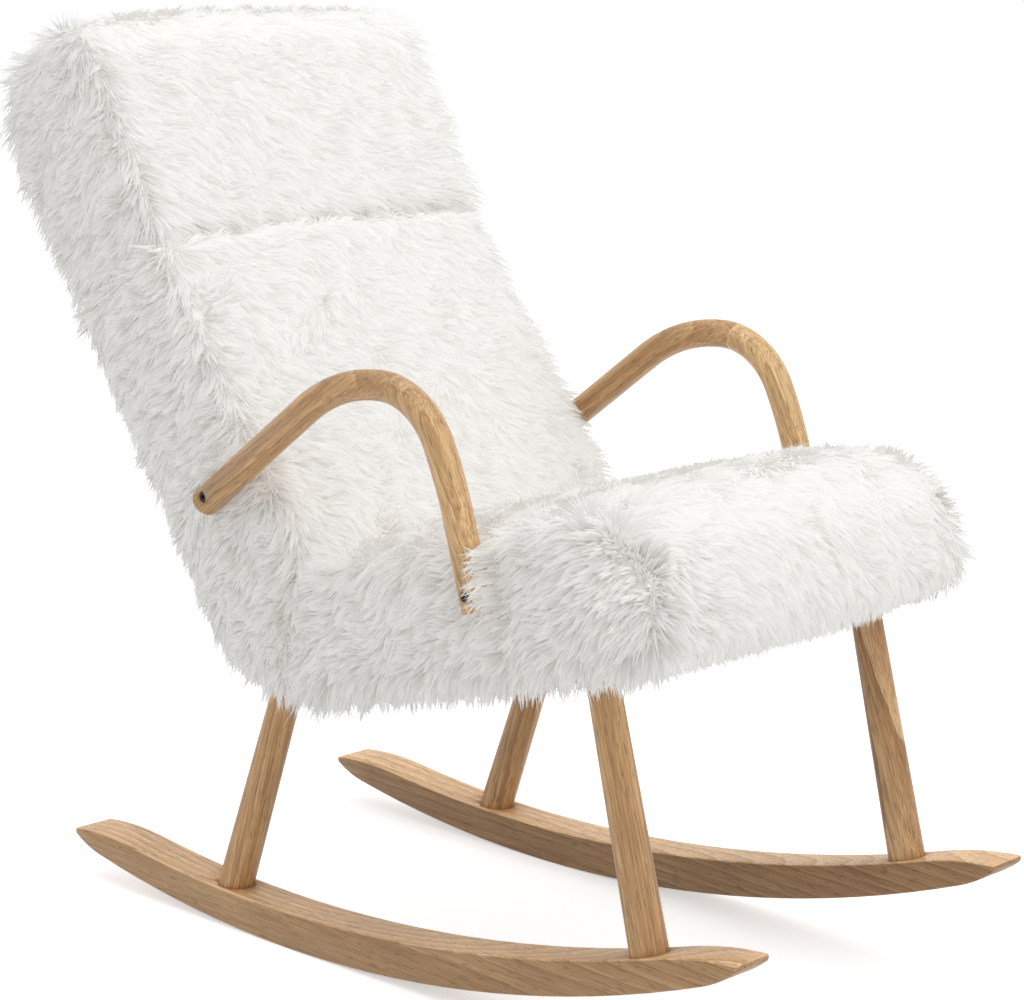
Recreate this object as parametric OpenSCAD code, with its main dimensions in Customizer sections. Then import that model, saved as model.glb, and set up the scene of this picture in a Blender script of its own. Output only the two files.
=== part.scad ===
// Upholstered rocking chair: two curved rockers, four turned legs, two arched wooden arms
// and a long-pile upholstered seat, back and headrest on a hidden wooden frame.
// The floor is z = 0, the line where the rockers touch it is y = 0, and the sitter faces -Y.

/* [Rockers] */
// Radius of the running edge that the chair rolls on
rocker_r = 1580; // [1300:20:1900]
// Width of one rocker across the chair
rocker_w = 50; // [44:1:60]
// Depth of a rocker halfway along it
rocker_depth = 40; // [36:1:50]
// How much flatter the hollow top edge is than the running edge
rocker_thinning = 325; // [100:25:500]
// Reach of the rockers in front of the floor contact
rocker_front = 601; // [570:1:640]
// Reach of the rockers behind the floor contact
rocker_rear = 354; // [300:1:400]
// Length over which each rocker tip rounds down
tip_length = 92; // [60:2:110]
// Depth left at the very tip
tip_depth = 6; // [4:1:12]
// How far the running edge curves up at a tip
tip_lift = 8; // [3:1:10]
// Length over which the running edge curves up
tip_under = 40; // [30:1:50]

/* [Legs] */
// Diameter of a leg where it stands on the rocker
leg_foot_d = 38; // [32:1:42]
// Diameter of a leg where it enters the seat frame
leg_top_d = 31; // [26:1:34]
// How far the front feet stand in front of the front legs' tops
front_splay = 68; // [50:1:80]
// Distance of the rear feet behind the floor contact
rear_foot_y = 108; // [80:2:150]
// Distance of the front leg tops behind the front end of the side rails
front_leg_in = 43; // [36:1:70]
// Depth of the round socket in the top of a rocker
foot_socket = 6; // [3:1:10]
// Depth of the round socket in the seat frame
top_socket = 8; // [4:1:10]

/* [Seat] */
// Height of the seat's rear bottom seam over the floor
seat_z = 283; // [260:1:320]
// Distance of the seat's rear bottom seam in front of the floor contact
seat_y = 17; // [0:1:40]
// Slope of the seat, rising to the front, in degrees
seat_slope = 12.5; // [8:0.5:16]
// Length of the seat cushion
seat_length = 529; // [505:1:560]
// Height of the seat cushion's side edge at the crease
seat_rear_t = 120; // [118:1:130]
// Height of the seat cushion's side edge at the front roll
seat_front_t = 150; // [142:1:154]
// Radius of the front roll
roll_r = 92; // [70:2:96]
// Swell of the seat's top between its sides
seat_crown = 14; // [6:1:30]

/* [Back] */
// Lean of the back from upright, in degrees
recline = 33.8; // [28:0.2:38]
// Length of the back cushion from crease to groove
back_length = 402; // [380:1:440]
// Depth of the back cushion at its sides
back_t = 158; // [154:1:170]
// Swell of the back's front face
back_crown = 16; // [6:1:26]
// Place of the crease along the seat, from the rear seam
crease_s = 53; // [48:1:58]
// Height of the crease over the seat's bottom
crease_m = 100; // [96:1:106]

/* [Headrest] */
// Length of the headrest cushion from groove to top
head_length = 268; // [258:1:300]
// How far the top of the headrest swells in front of the back's face
head_swell = 31; // [16:1:34]
// Swell of the headrest's front face between its sides
head_crown = 8; // [4:1:24]

/* [Cushions] */
// Width of the upholstery at its side panels
pad_w = 464; // [458:1:468]
// Radius of the soft edge round each side panel
pad_edge = 21; // [14:1:30]
// Swell of the side panels
pad_swell = 4.5; // [1:0.5:4.5]
// Gap between one soft piece and its neighbour
soft_gap = 0.3; // [0.2:0.1:0.5]

/* [Arms] */
// Diameter of the round arms
arm_d = 30; // [24:1:32]
// Room between an arm and the side panel that it is bolted to
arm_clear = 5; // [5:0.5:15]
// Height of the arm's highest centre point over the floor
arm_apex_z = 614.5; // [590:0.5:640]
// Distance of that point in front of the floor contact
arm_apex_y = 180; // [170:1:190]
// Radius of the long rear curve
arm_rear_r = 182; // [160:2:200]
// Slope of the straight rear stretch, in degrees
arm_rear_slope = 36; // [33:0.5:38]
// Length of the straight rear stretch
arm_rear_len = 196; // [188:1:204]
// Radius of the tight front curve
arm_front_r = 86; // [76:1:96]
// Angle that the tight front curve turns through, in degrees
arm_front_turn = 63.6; // [58:0.2:68]
// Radius of the slow curve below it
arm_slow_r = 404; // [340:4:460]
// Slope of the straight front stretch, in degrees
arm_front_slope = 74; // [72:0.5:78]
// Length of the straight front stretch
arm_front_len = 88; // [80:1:96]
// Angle in front of the highest point at which the two arm boards are glued, in degrees
arm_joint = 12; // [4:1:24]
// Distance of each arm bolt from the arm's end
arm_bolt_in = 17; // [14:1:22]

/* [Frame] */
// Thickness of the side frames across the chair
frame_t = 40; // [36:1:42]
// Padding between a side frame and the flat of its side panel
side_padding = 13; // [11:0.5:15]
// Height of the frame's underside over the seat's bottom
frame_low = 18; // [16:1:24]
// Height of the side rails' top over the seat's bottom
frame_high = 98; // [94:1:98]
// Depth from the back's face to the front edge of the uprights
upright_front = 35; // [33:1:40]
// Depth from the back's face to the rear edge of the uprights
upright_rear = 130; // [112:1:130]
// Padding between the top of the uprights and the top of the headrest
top_padding = 44; // [42:1:62]
// Padding between the front end of the side rails and the front of the seat
front_padding = 79; // [72:1:86]
// Thickness of the cross rails
cross_t = 25; // [18:1:28]
// Height of the seat's cross rails over the seat's bottom
cross_high = 72; // [66:1:72]
// Thickness of the plywood corner gussets
gusset_t = 12; // [9:1:15]
// Thickness of the hardboard back panel
panel_t = 3; // [2:0.5:3]
// Thickness of the elastic back straps
strap_t = 1.8; // [1.2:0.2:2]
// Width of the elastic back straps
strap_w = 50; // [40:1:60]
// Thickness of the dust cover under the seat
dust_t = 1.2; // [0.8:0.1:1.4]
// How far the cover is folded inwards under the side rails
window_in = 10; // [6:1:14]

/* [Springs] */
// Diameter of the zigzag spring wire
wire_d = 3.8; // [3:0.2:4.2]
// Number of zigzag springs
spring_count = 4; // [3:1:5]
// Number of full waves in each spring
spring_waves = 7; // [5:1:9]
// Sideways reach of each wave
spring_reach = 24; // [18:1:28]

/* [Hardware] */
// Diameter of the bolts between legs, rockers and frame
leg_bolt_d = 8; // [6:1:10]
// Diameter of the arm bolts
arm_bolt_d = 6; // [5:1:8]
// Diameter of the hole sunk into the arm for the bolt head
arm_sink_d = 12; // [11:0.5:14]
// Depth of that hole
arm_sink = 8; // [7:0.5:10]
// Diameter of the frame's dowels
dowel_d = 8; // [6:1:10]
// Length of the frame's dowels
dowel_len = 40; // [30:1:40]
// Radial room between a bolt or dowel and its hole
hole_gap = 0.1; // [0.05:0.05:0.3]

/* [Hidden] */

wood = "#c79a63";
dark_wood = "#b98b57";
fur = "#f4f1ea";
foam = "#efe3b6";
frame_wood = "#d9bf93";
steel = "#9a9ca0";
black_steel = "#3a3a3c";
webbing_colour = "#77736b";
board = "#8a6a4a";
cloth = "#2f2f31";

smooth = 96;
rim = 48;

// Widths and lengths that follow the cushions
frame_w = pad_w - 2 * side_padding;
frame_in = frame_w / 2 - frame_t;
side_x = frame_w / 2 - frame_t / 2;
arm_x = pad_w / 2 + arm_clear + arm_d / 2;
rail_front = seat_length - front_padding;
front_leg_s = rail_front - front_leg_in;
upright_top = back_length + head_length - top_padding;

// Places in the side view are [y, z]. seat(s, m) runs s along the seat to the front and m
// square up from its bottom. back(u, n) runs u up the back and n square to its rear.
function seat(s, m) = [
    -seat_y - s * cos(seat_slope) + m * sin(seat_slope),
    seat_z + s * sin(seat_slope) + m * cos(seat_slope)
];
crease = seat(crease_s, crease_m);
function back(u, n) = crease + [
    u * sin(recline) + n * cos(recline),
    u * cos(recline) - n * sin(recline)
];

// Running edge and hollow top edge of a rocker, seen from the side
rocker_centre = [0, rocker_r];
rocker_mid_y = (rocker_rear - rocker_front) / 2;
rocker_mid_angle = asin(rocker_mid_y / rocker_r);
top_r = rocker_r - rocker_depth + rocker_thinning;
top_centre = rocker_centre + (rocker_thinning) * [-sin(rocker_mid_angle), cos(rocker_mid_angle)];
function running_z(y) = rocker_r - sqrt(rocker_r ^ 2 - y ^ 2);
function top_z(y) = top_centre[1] - sqrt(top_r ^ 2 - (y - top_centre[0]) ^ 2);

// Leg axes: a foot point on the rocker's top and a top point on the frame's underside
function unit(v) = v / norm(v);
front_top = seat(front_leg_s, frame_low);
front_foot_y = front_splay - front_top[0];
front_foot = [-front_foot_y, top_z(-front_foot_y)];
rear_foot = [rear_foot_y, top_z(rear_foot_y)];
rear_leg_back = 20;
rear_leg_rise = 8;
rear_top = seat(-rear_leg_back, frame_low + rear_leg_rise);
leg_x = side_x;
foot_bolt_cover = 22;
foot_bolt_reach = 30;
foot_washer_t = 1.6;
foot_head_t = 7;
hanger_in_leg = 35;
hanger_in_frame = 30;
leg_foot_gap = 0.2;
leg_room = 2;

// Arm centre line: two straights and three arcs in one plane
function arm_rear_point(a) = [
    -arm_apex_y + arm_rear_r * sin(a),
    arm_apex_z - arm_rear_r * (1 - cos(a))
];
function arm_front_point(a) = [
    -arm_apex_y - arm_front_r * sin(a),
    arm_apex_z - arm_front_r * (1 - cos(a))
];
arm_rear_bend = arm_rear_point(arm_rear_slope);
arm_rear_dir = [cos(arm_rear_slope), -sin(arm_rear_slope)];
arm_rear_end = arm_rear_bend + arm_rear_len * arm_rear_dir;
arm_rear_bolt = arm_rear_end - arm_bolt_in * arm_rear_dir;
arm_front_bend = arm_front_point(arm_front_turn);
arm_slow_centre = arm_front_bend + arm_slow_r * [sin(arm_front_turn), -cos(arm_front_turn)];
arm_slow_end = arm_slow_centre + arm_slow_r * [-sin(arm_front_slope), cos(arm_front_slope)];
arm_front_dir = [-cos(arm_front_slope), -sin(arm_front_slope)];
arm_front_end = arm_slow_end + arm_front_len * arm_front_dir;
arm_front_bolt = arm_front_end - arm_bolt_in * arm_front_dir;
arm_outer = arm_x + arm_d / 2;
arm_head_seat = arm_outer - arm_sink;
arm_chamfer = 3;
arm_sides = 32;

// Frame
rear_leg_dir = unit(rear_top - rear_foot);
front_leg_dir = unit(front_top - front_foot);
leg_face = [rear_leg_dir[1], -rear_leg_dir[0]];
function cut(p, d, q, e) = p + d * cross(q - p, e) / cross(d, e);
seat_dir = seat(1, 0) - seat(0, 0);
back_dir = back(1, 0) - back(0, 0);
frame_inner = cut(seat(0, frame_high), seat_dir, back(0, upright_front), back_dir);
frame_outer = cut(rear_top, leg_face, back(0, upright_rear), back_dir);
frame_under = cut(rear_top, leg_face, seat(0, frame_low), seat_dir);
front_rail_s = rail_front - cross_t;
rear_rail_s = 52;
cross_low = frame_low;
lumbar_u = 64;
lumbar_h = 46;
middle_u = back_length - 22;
middle_h = 56;
top_h = 40;
top_deep = 78;
panel_low = 40;
panel_high = upright_top - 38;
strap_first = 150;
strap_pitch = 65;
head_strap = back_length + 98;
strap_places = [for (i = [0:3]) strap_first + i * strap_pitch, head_strap];
strap_overlap = 32;
dowel_in_frame = dowel_len / 2;
tee_flange_t = 1.5;
tee_flange_d = 19;
tee_barrel_t = 10;
tee_barrel_d = 9;

// Foam and the hollow that it shares with the frame inside the covers
foam_skin = 17;
foam_rear_m = seat_rear_t - foam_skin;
foam_front_m = seat_front_t - foam_skin - 4;
foam_nose = 25;
foam_front_s = seat_length - foam_nose;
foam_roll = 45;
foam_shoulder = 14;
foam_shoulder_m = frame_high;
foam_brow_m = frame_high - 30;
foam_chin = 18;
foam_lip = 12;
foam_lip_m = frame_low + 2;
clip_t = 1;
clip_high = cross_high + wire_d + 0.1;
foam_low = clip_high + clip_t + soft_gap;
foam_core_gap = 5;
foam_core_x = frame_in - foam_core_gap;
foam_back_n = 10;
head_foam_n = 12;
head_foam_skin = 8;
head_foam_swell = head_swell - head_foam_skin;
head_foam_cap = 22;
head_foam_top = upright_top + head_foam_cap;
head_foam_corner = 28;
head_foam_rear = 32;
head_foam_step = 6;
head_foam_brow = 4;
head_foam_start = 3.2;
crease_gap = 4;
dust_edge = 5;
skin = soft_gap;
function seat_foam_nose(room) = [
    seat(foam_front_s - foam_roll, foam_front_m + room),
    seat(foam_front_s - foam_shoulder + room, foam_shoulder_m + room),
    seat(foam_front_s + room, foam_brow_m),
    seat(foam_front_s + room, frame_low + foam_chin),
    seat(foam_front_s - foam_lip + room, foam_lip_m - room)
];
function head_foam_cap_line(room) = [
    back(panel_high, -head_foam_swell + head_foam_skin - room),
    back(upright_top + head_foam_brow, head_foam_brow - room),
    back(head_foam_top + room, head_foam_corner),
    back(head_foam_top + room, upright_rear - head_foam_rear),
    back(head_foam_top - foam_lip + room, upright_rear - head_foam_step + room)
];

// Cushion corners: [place, radius, steps in the arc]. Edge values: [swell, share of the soft edge].
seam_r = 14;
groove_r = 10;
nose_r = 40;
nose_tuck = 12;
seat_drop = 6;
nose_drop = -4;
nose_swell = 8;
crease_lean = 11;
heel_r = 62;
heel_u = 8;
tail_r = 18;
tail_s = 26;
tail_m = 0;
rear_swell = 5;
head_lip = 6;
head_lip_r = 18;
head_brow_r = 58;
head_rear_r = 86;
head_rear_rise = 2;
head_rear_in = 4;
seat_corners = [
    [seat(0, -seat_drop), seam_r, 4],
    [seat(seat_length - nose_tuck, -nose_drop), nose_r, 7],
    [seat(seat_length, seat_front_t), roll_r, 8],
    [seat(crease_s + crease_lean, seat_rear_t), seam_r, 4]
];
seat_edges = [[0, 0.8], [nose_swell, 1], [seat_crown, 1], [0, 0.3]];

back_corners = [
    [seat(-soft_gap, -seat_drop), seam_r, 4],
    [seat(crease_s + crease_lean - soft_gap, seat_rear_t), groove_r, 4],
    [back(back_length - soft_gap, 0), seam_r, 4],
    [back(back_length - soft_gap, back_t), groove_r, 4],
    [back(heel_u, back_t), heel_r, 8],
    [seat(-tail_s, tail_m), tail_r, 4]
];
back_edges = [[0, 0.3], [back_crown, 1], [0, 0.3], [rear_swell, 1], [rear_swell / 2, 1], [0, 0.8]];

head_corners = [
    [back(back_length, -head_lip), head_lip_r, 4],
    [back(back_length + head_length, -head_swell), head_brow_r, 8],
    [back(back_length + head_length + head_rear_rise, back_t - head_rear_in), head_rear_r, 8],
    [back(back_length, back_t - head_rear_rise), groove_r, 4]
];
head_edges = [[head_crown, 1], [rear_swell, 1], [rear_swell, 1], [0, 0.3]];

// One closed ring of a cushion: each straight edge moved outwards by its own amount,
// each corner rounded by an arc
function moved(corners, out, i) =
    let(n = len(corners), a = corners[(i + n - 1) % n][0], b = corners[i][0], c = corners[(i + 1) % n][0])
    let(d = unit(b - a), e = unit(c - b))
    let(p = a + out[(i + n - 1) % n] * [-d[1], d[0]], q = b + out[i] * [-e[1], e[0]])
    cut(p, d, q, e);
function arc(p, b, q, r, steps) =
    let(d = unit(b - p), e = unit(q - b), turn = acos(d * e), start = b - d * r * tan(turn / 2))
    let(nd = [-d[1], d[0]], ne = [-e[1], e[0]], middle = start - nd * r)
    [for (k = [0:steps]) let(f = k / steps)
        middle + r * (nd * sin((1 - f) * turn) + ne * sin(f * turn)) / sin(turn)];
function ring(corners, out) =
    let(n = len(corners), at = [for (i = [0:n - 1]) moved(corners, out, i)])
    [for (i = [0:n - 1])
        let(r = max(corners[i][1] + min(out[i], out[(i + n - 1) % n]), least_r))
        each arc(at[(i + n - 1) % n], at[i], at[(i + 1) % n], r, corners[i][2])];
function amounts(edges, bulge, drawn) = [for (e = edges) e[0] * bulge - e[1] * drawn];
function middle_of(points) = points * 0 == points ? points[0] : [
    (max([for (p = points) p[0]]) + min([for (p = points) p[0]])) / 2,
    (max([for (p = points) p[1]]) + min([for (p = points) p[1]])) / 2
];

least_r = 3;
across_steps = 8;
edge_steps = 4;
half_flat = pad_w / 2 - pad_edge;
side_shares = [0.72, 0.4];
function place(points, x) = [for (p = points) [x, p[0], p[1]]];
function flat_ring(corners, edges, f) =
    place(ring(corners, amounts(edges, 1 - abs(f) ^ 3, 0)), f * half_flat);
function edge_ring(corners, edges, a, side) =
    place(ring(corners, amounts(edges, 0, pad_edge * (1 - cos(a)))), side * (half_flat + pad_edge * sin(a)));
function side_ring(corners, edges, share, side) =
    let(rim_points = ring(corners, amounts(edges, 0, pad_edge)), c = middle_of(rim_points))
    place([for (p = rim_points) c + (p - c) * share], side * (pad_w / 2 + pad_swell * (1 - share * share)));
function cushion_rings(corners, edges) = [
    for (k = [len(side_shares) - 1:-1:0]) side_ring(corners, edges, side_shares[k], -1),
    for (k = [edge_steps:-1:1]) edge_ring(corners, edges, 90 * k / edge_steps, -1),
    for (k = [0:across_steps]) flat_ring(corners, edges, -1 + 2 * k / across_steps),
    for (k = [1:edge_steps]) edge_ring(corners, edges, 90 * k / edge_steps, 1),
    for (k = [0:len(side_shares) - 1]) side_ring(corners, edges, side_shares[k], 1)
];

module cushion_form(corners, edges) {
    rings = cushion_rings(corners, edges);
    n = len(rings[0]);
    last = len(rings) - 1;
    hub = middle_of([for (p = rings[0]) [p[1], p[2]]]);
    reach = pad_w / 2 + pad_swell;
    points = [for (r = rings) each r, [-reach, hub[0], hub[1]], [reach, hub[0], hub[1]]];
    low_hub = (last + 1) * n;
    skin_faces = [
        for (i = [0:last - 1], j = [0:n - 1])
        let(a = i * n + j, b = i * n + (j + 1) % n)
        each [[a, b, a + n], [b, b + n, a + n]]
    ];
    cap_faces = [
        for (j = [0:n - 1])
        let(k = (j + 1) % n)
        each [[low_hub, k, j], [low_hub + 1, last * n + j, last * n + k]]
    ];
    polyhedron(points, concat(skin_faces, cap_faces));
}

// Shapes drawn in the side view and carried across the chair
module across(width, x = 0) {
    translate([x, 0, 0])
        rotate([90, 0, 90])
            linear_extrude(width, center = true)
                children();
}
module both_sides() {
    children();
    mirror([1, 0, 0])
        children();
}
// A round bar between two places of the side view
module bar(p, q, d1, d2, x = 0, sides = smooth) {
    v = q - p;
    translate([x, p[0], p[1]])
        rotate([-atan2(v[0], v[1]), 0, 0])
            cylinder(norm(v), d1 = d1, d2 = d2, $fn = sides);
}
// A round bar across the chair, from x = a to x = b
module cross_bar(p, a, b, d, sides = rim) {
    translate([min(a, b), p[0], p[1]])
        rotate([0, 90, 0])
            cylinder(abs(b - a), d = d, $fn = sides);
}

module rocker_outline() {
    tips = [[-rocker_front, -1], [rocker_rear, 1]];
    difference() {
        intersection() {
            translate(rocker_centre)
                circle(rocker_r, $fn = 1440);
            polygon([
                [-rocker_front + tip_length, -10], [rocker_rear - tip_length, -10],
                [rocker_rear - tip_length, 2 * rocker_depth + running_z(rocker_rear)],
                [-rocker_front + tip_length, 2 * rocker_depth + running_z(rocker_front)]
            ]);
        }
        translate(top_centre)
            circle(top_r, $fn = 1440);
    }
    for (t = tips)
        rocker_tip(t[0], t[1]);
}
module rocker_tip(tip_y, side) {
    root_y = tip_y - side * tip_length;
    root = [root_y, top_z(root_y)];
    down = unit(root - top_centre);
    end = [tip_y, running_z(tip_y) + tip_lift + tip_depth];
    chord = end - root;
    tip_r = (chord * chord) / (2 * (chord * down));
    turn_y = tip_y - side * tip_under;
    turn = [turn_y, running_z(turn_y)];
    inward = unit(rocker_centre - turn);
    rise = [tip_y, running_z(tip_y) + tip_lift] - turn;
    under_r = (rise * rise) / (2 * (rise * inward));
    intersection() {
        translate(rocker_centre)
            circle(rocker_r, $fn = 1440);
        union() {
            translate(turn + under_r * inward)
                circle(under_r, $fn = 360);
            translate([min(root_y, turn_y), -10])
                square([tip_length - tip_under, 2 * rocker_depth + end[1]]);
        }
        translate(root + tip_r * down)
            circle(tip_r, $fn = 360);
        translate([min(root_y, tip_y), -10])
            square([tip_length, 2 * rocker_depth + end[1]]);
    }
}
module foot_hole(foot, dir) {
    bar(foot - foot_socket * dir, foot + 30 * dir, leg_foot_d + 2 * leg_foot_gap, leg_foot_d + 2 * leg_foot_gap);
    bar(foot - 80 * dir, foot, leg_bolt_d + 2 * hole_gap, leg_bolt_d + 2 * hole_gap, 0, rim);
    bar(foot - 80 * dir, foot - foot_bolt_cover * dir, 2.2 * leg_bolt_d, 2.2 * leg_bolt_d, 0, rim);
}
module rocker() {
    difference() {
        across(rocker_w)
            rocker_outline();
        foot_hole(front_foot, front_leg_dir);
        foot_hole(rear_foot, rear_leg_dir);
    }
}
module left_rocker() {
    color(wood)
        translate([leg_x, 0, 0])
            rocker();
}
module right_rocker() {
    color(wood)
        translate([-leg_x, 0, 0])
            rocker();
}

module leg(foot, top, dir, x) {
    low = foot - foot_socket * dir;
    high = top + top_socket * dir;
    difference() {
        bar(low, high, leg_foot_d, leg_top_d, x);
        bar(low - dir, foot + (foot_bolt_reach + 3) * dir, leg_bolt_d + 2 * hole_gap,
            leg_bolt_d + 2 * hole_gap, x, rim);
        bar(high - (hanger_in_leg + 2) * dir, high + dir, leg_bolt_d + 2 * hole_gap,
            leg_bolt_d + 2 * hole_gap, x, rim);
    }
}
module left_front_leg() {
    color(wood)
        leg(front_foot, front_top, front_leg_dir, leg_x);
}
module left_rear_leg() {
    color(wood)
        leg(rear_foot, rear_top, rear_leg_dir, leg_x);
}
module right_front_leg() {
    color(wood)
        leg(front_foot, front_top, front_leg_dir, -leg_x);
}
module right_rear_leg() {
    color(wood)
        leg(rear_foot, rear_top, rear_leg_dir, -leg_x);
}

// One closed round bar along places of the side view, each [place, direction, diameter]
module round_bar(stations, x, sides) {
    last = len(stations) - 1;
    points = [
        for (t = stations, k = [0:sides - 1])
        let(a = 360 * k / sides, r = t[2] / 2, up = [-t[1][1], t[1][0]])
        [x + r * cos(a), t[0][0] + r * sin(a) * up[0], t[0][1] + r * sin(a) * up[1]]
    ];
    walls = [
        for (i = [0:last - 1], k = [0:sides - 1])
        let(a = i * sides + k, b = i * sides + (k + 1) % sides)
        each [[a, a + sides, b], [b, a + sides, b + sides]]
    ];
    ends = [[for (k = [0:sides - 1]) k], [for (k = [sides - 1:-1:0]) last * sides + k]];
    polyhedron(points, concat(walls, ends));
}
// Stations of an arc that starts at an angle and turns to another, seen from the side
function arc_stations(centre, r, from, to, steps, way) = [
    for (k = [0:steps])
    let(a = from + (to - from) * k / steps)
    [centre + r * [cos(a), sin(a)], way * [-sin(a), cos(a)], arm_d]
];
arm_rear_stations = concat(
    [
        for (a = [80, 50, 20])
        [arm_rear_end - arm_chamfer * (1 - sin(a)) * arm_rear_dir, -arm_rear_dir, arm_d - 2 * arm_chamfer * (1 - cos(a))]
    ],
    [[arm_rear_end - arm_chamfer * arm_rear_dir, -arm_rear_dir, arm_d]],
    arc_stations([-arm_apex_y, arm_apex_z - arm_rear_r], arm_rear_r, 90 - arm_rear_slope, 90, 10, 1),
    [
        for (t = arc_stations([-arm_apex_y, arm_apex_z - arm_front_r], arm_front_r, 90, 90 + arm_joint, 3, 1))
        if (t[0][0] < -arm_apex_y - 0.1) t
    ]
);
arm_front_stations = concat(
    arc_stations([-arm_apex_y, arm_apex_z - arm_front_r], arm_front_r, 90 + arm_joint, 90 + arm_front_turn, 12, 1),
    [
        for (t = arc_stations(arm_slow_centre, arm_slow_r, 90 + arm_front_turn, 90 + arm_front_slope, 4, 1))
        if (norm(t[0] - arm_front_bend) > 0.1) t
    ],
    [[arm_front_end - arm_chamfer * arm_front_dir, arm_front_dir, arm_d]],
    [
        for (a = [20, 50, 80])
        [arm_front_end - arm_chamfer * (1 - sin(a)) * arm_front_dir, arm_front_dir, arm_d - 2 * arm_chamfer * (1 - cos(a))]
    ]
);
module arm_hole(p) {
    cross_bar(p, 0, arm_outer + 1, arm_bolt_d + 2 * hole_gap);
    cross_bar(p, arm_head_seat, arm_outer + 1, arm_sink_d);
}
module arm_rear() {
    difference() {
        round_bar(arm_rear_stations, arm_x, arm_sides);
        arm_hole(arm_rear_bolt);
    }
}
module arm_front() {
    difference() {
        round_bar(arm_front_stations, arm_x, arm_sides);
        arm_hole(arm_front_bolt);
    }
}
module left_arm_front() {
    color(wood)
        arm_front();
}
module left_arm_rear() {
    color(dark_wood)
        arm_rear();
}
module right_arm_front() {
    color(wood)
        mirror([1, 0, 0])
            arm_front();
}
module right_arm_rear() {
    color(dark_wood)
        mirror([1, 0, 0])
            arm_rear();
}

// The hollow inside the covers that holds frame, foam, straps and panel
module core() {
    seat_low = frame_low - dust_t - 2 * skin;
    rear_n = upright_rear + panel_t + skin;
    across(frame_w + 2 * skin) {
        polygon(concat(
            [seat(crease_s, seat_low), seat(rail_front + skin, seat_low)],
            [for (i = [4:-1:0]) seat_foam_nose(skin)[i]],
            [seat(crease_s, foam_rear_m + skin)]
        ));
        polygon([
            frame_under - skin * rear_leg_dir - groove_r * seat_dir,
            frame_outer - skin * rear_leg_dir + skin * leg_face,
            back(panel_low, rear_n), back(panel_low, foam_back_n - skin),
            back(0, foam_back_n - skin), seat(crease_s + skin, foam_rear_m + skin),
            seat(crease_s + skin, seat_low), seat(0, seat_low)
        ]);
        polygon([
            back(panel_low - skin, rear_n), back(panel_high + skin, rear_n),
            back(panel_high + skin, foam_back_n - skin), back(panel_low - skin, foam_back_n - skin)
        ]);
        polygon(concat(
            [back(back_length + head_foam_start - skin, rear_n), back(upright_top, rear_n)],
            [for (i = [4:-1:0]) head_foam_cap_line(skin)[i]],
            [back(back_length + head_foam_start - skin, head_foam_n - skin)]
        ));
    }
}
module leg_way(top, dir) {
    bar(top - 2 * frame_t * dir, top + crease_gap * dir, leg_top_d + 3 * leg_room, leg_top_d + leg_room, leg_x);
}
module leg_ways() {
    both_sides() {
        leg_way(front_top, front_leg_dir);
        leg_way(rear_top, rear_leg_dir);
    }
}
module arm_bolt_ways() {
    both_sides() {
        cross_bar(arm_rear_bolt, 0, arm_outer, arm_bolt_d + 2 * soft_gap);
        cross_bar(arm_front_bolt, 0, arm_outer, arm_bolt_d + 2 * soft_gap);
    }
}
module seat_cushion() {
    color(fur)
        difference() {
            cushion_form(seat_corners, seat_edges);
            core();
            leg_ways();
            arm_bolt_ways();
            across(2 * (frame_in - window_in))
                polygon([
                    seat(rear_rail_s, -frame_low), seat(front_rail_s, -frame_low),
                    seat(front_rail_s, frame_low), seat(rear_rail_s, frame_low)
                ]);
        }
}
module back_cushion() {
    color(fur)
        difference() {
            cushion_form(back_corners, back_edges);
            core();
            leg_ways();
            arm_bolt_ways();
        }
}
module headrest_cushion() {
    color(fur)
        difference() {
            cushion_form(head_corners, head_edges);
            core();
        }
}

module seat_foam() {
    color(foam) {
        across(frame_w)
            polygon(concat(
                [seat(crease_s + crease_gap, frame_high + skin), seat(crease_s + crease_gap, foam_rear_m)],
                seat_foam_nose(0),
                [seat(rail_front + skin, frame_low), seat(rail_front + skin, frame_high + skin)]
            ));
        across(2 * foam_core_x)
            polygon([
                seat(rear_rail_s + crease_gap, foam_low), seat(rear_rail_s + crease_gap, frame_high + 2 * skin),
                seat(rail_front + 2 * skin, frame_high + 2 * skin), seat(rail_front + 2 * skin, foam_low)
            ]);
    }
}
module back_foam() {
    strap_face = upright_front - strap_t - skin;
    color(foam)
        across(frame_w)
            polygon([
                back(seam_r, foam_back_n), back(back_length, foam_back_n),
                back(back_length, strap_face), back(seam_r, strap_face)
            ]);
}
module headrest_foam() {
    strap_face = upright_front - strap_t - skin;
    start = back_length + head_foam_start;
    color(foam)
        across(frame_w)
            polygon(concat(
                [back(start, strap_face), back(start, head_foam_n)],
                head_foam_cap_line(0),
                [back(upright_top + skin, upright_rear), back(upright_top + skin, strap_face)]
            ));
}

module socket_in_frame(top, dir) {
    bar(top - 30 * dir, top + top_socket * dir, leg_top_d + 4 * leg_foot_gap, leg_top_d + 4 * leg_foot_gap, side_x);
    bar(top, top + (top_socket + hanger_in_frame + 2) * dir, leg_bolt_d + 2 * hole_gap,
        leg_bolt_d + 2 * hole_gap, side_x, rim);
}
module seat_rail() {
    difference() {
        across(frame_t, side_x)
            polygon([
                seat(rail_front, frame_low), seat(rail_front, frame_high), frame_inner, frame_outer, frame_under
            ]);
        translate([leg_x - side_x, 0, 0]) {
            socket_in_frame(front_top, front_leg_dir);
            socket_in_frame(rear_top, rear_leg_dir);
        }
        arm_fixing(arm_front_bolt);
        dowels(hole_gap);
        screws(hole_gap);
    }
}
module back_upright() {
    difference() {
        across(frame_t, side_x)
            polygon([
                frame_inner, back(upright_top, upright_front), back(upright_top, upright_rear), frame_outer
            ]);
        arm_fixing(arm_rear_bolt);
        dowels(hole_gap);
        screws(hole_gap);
    }
}
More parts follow.
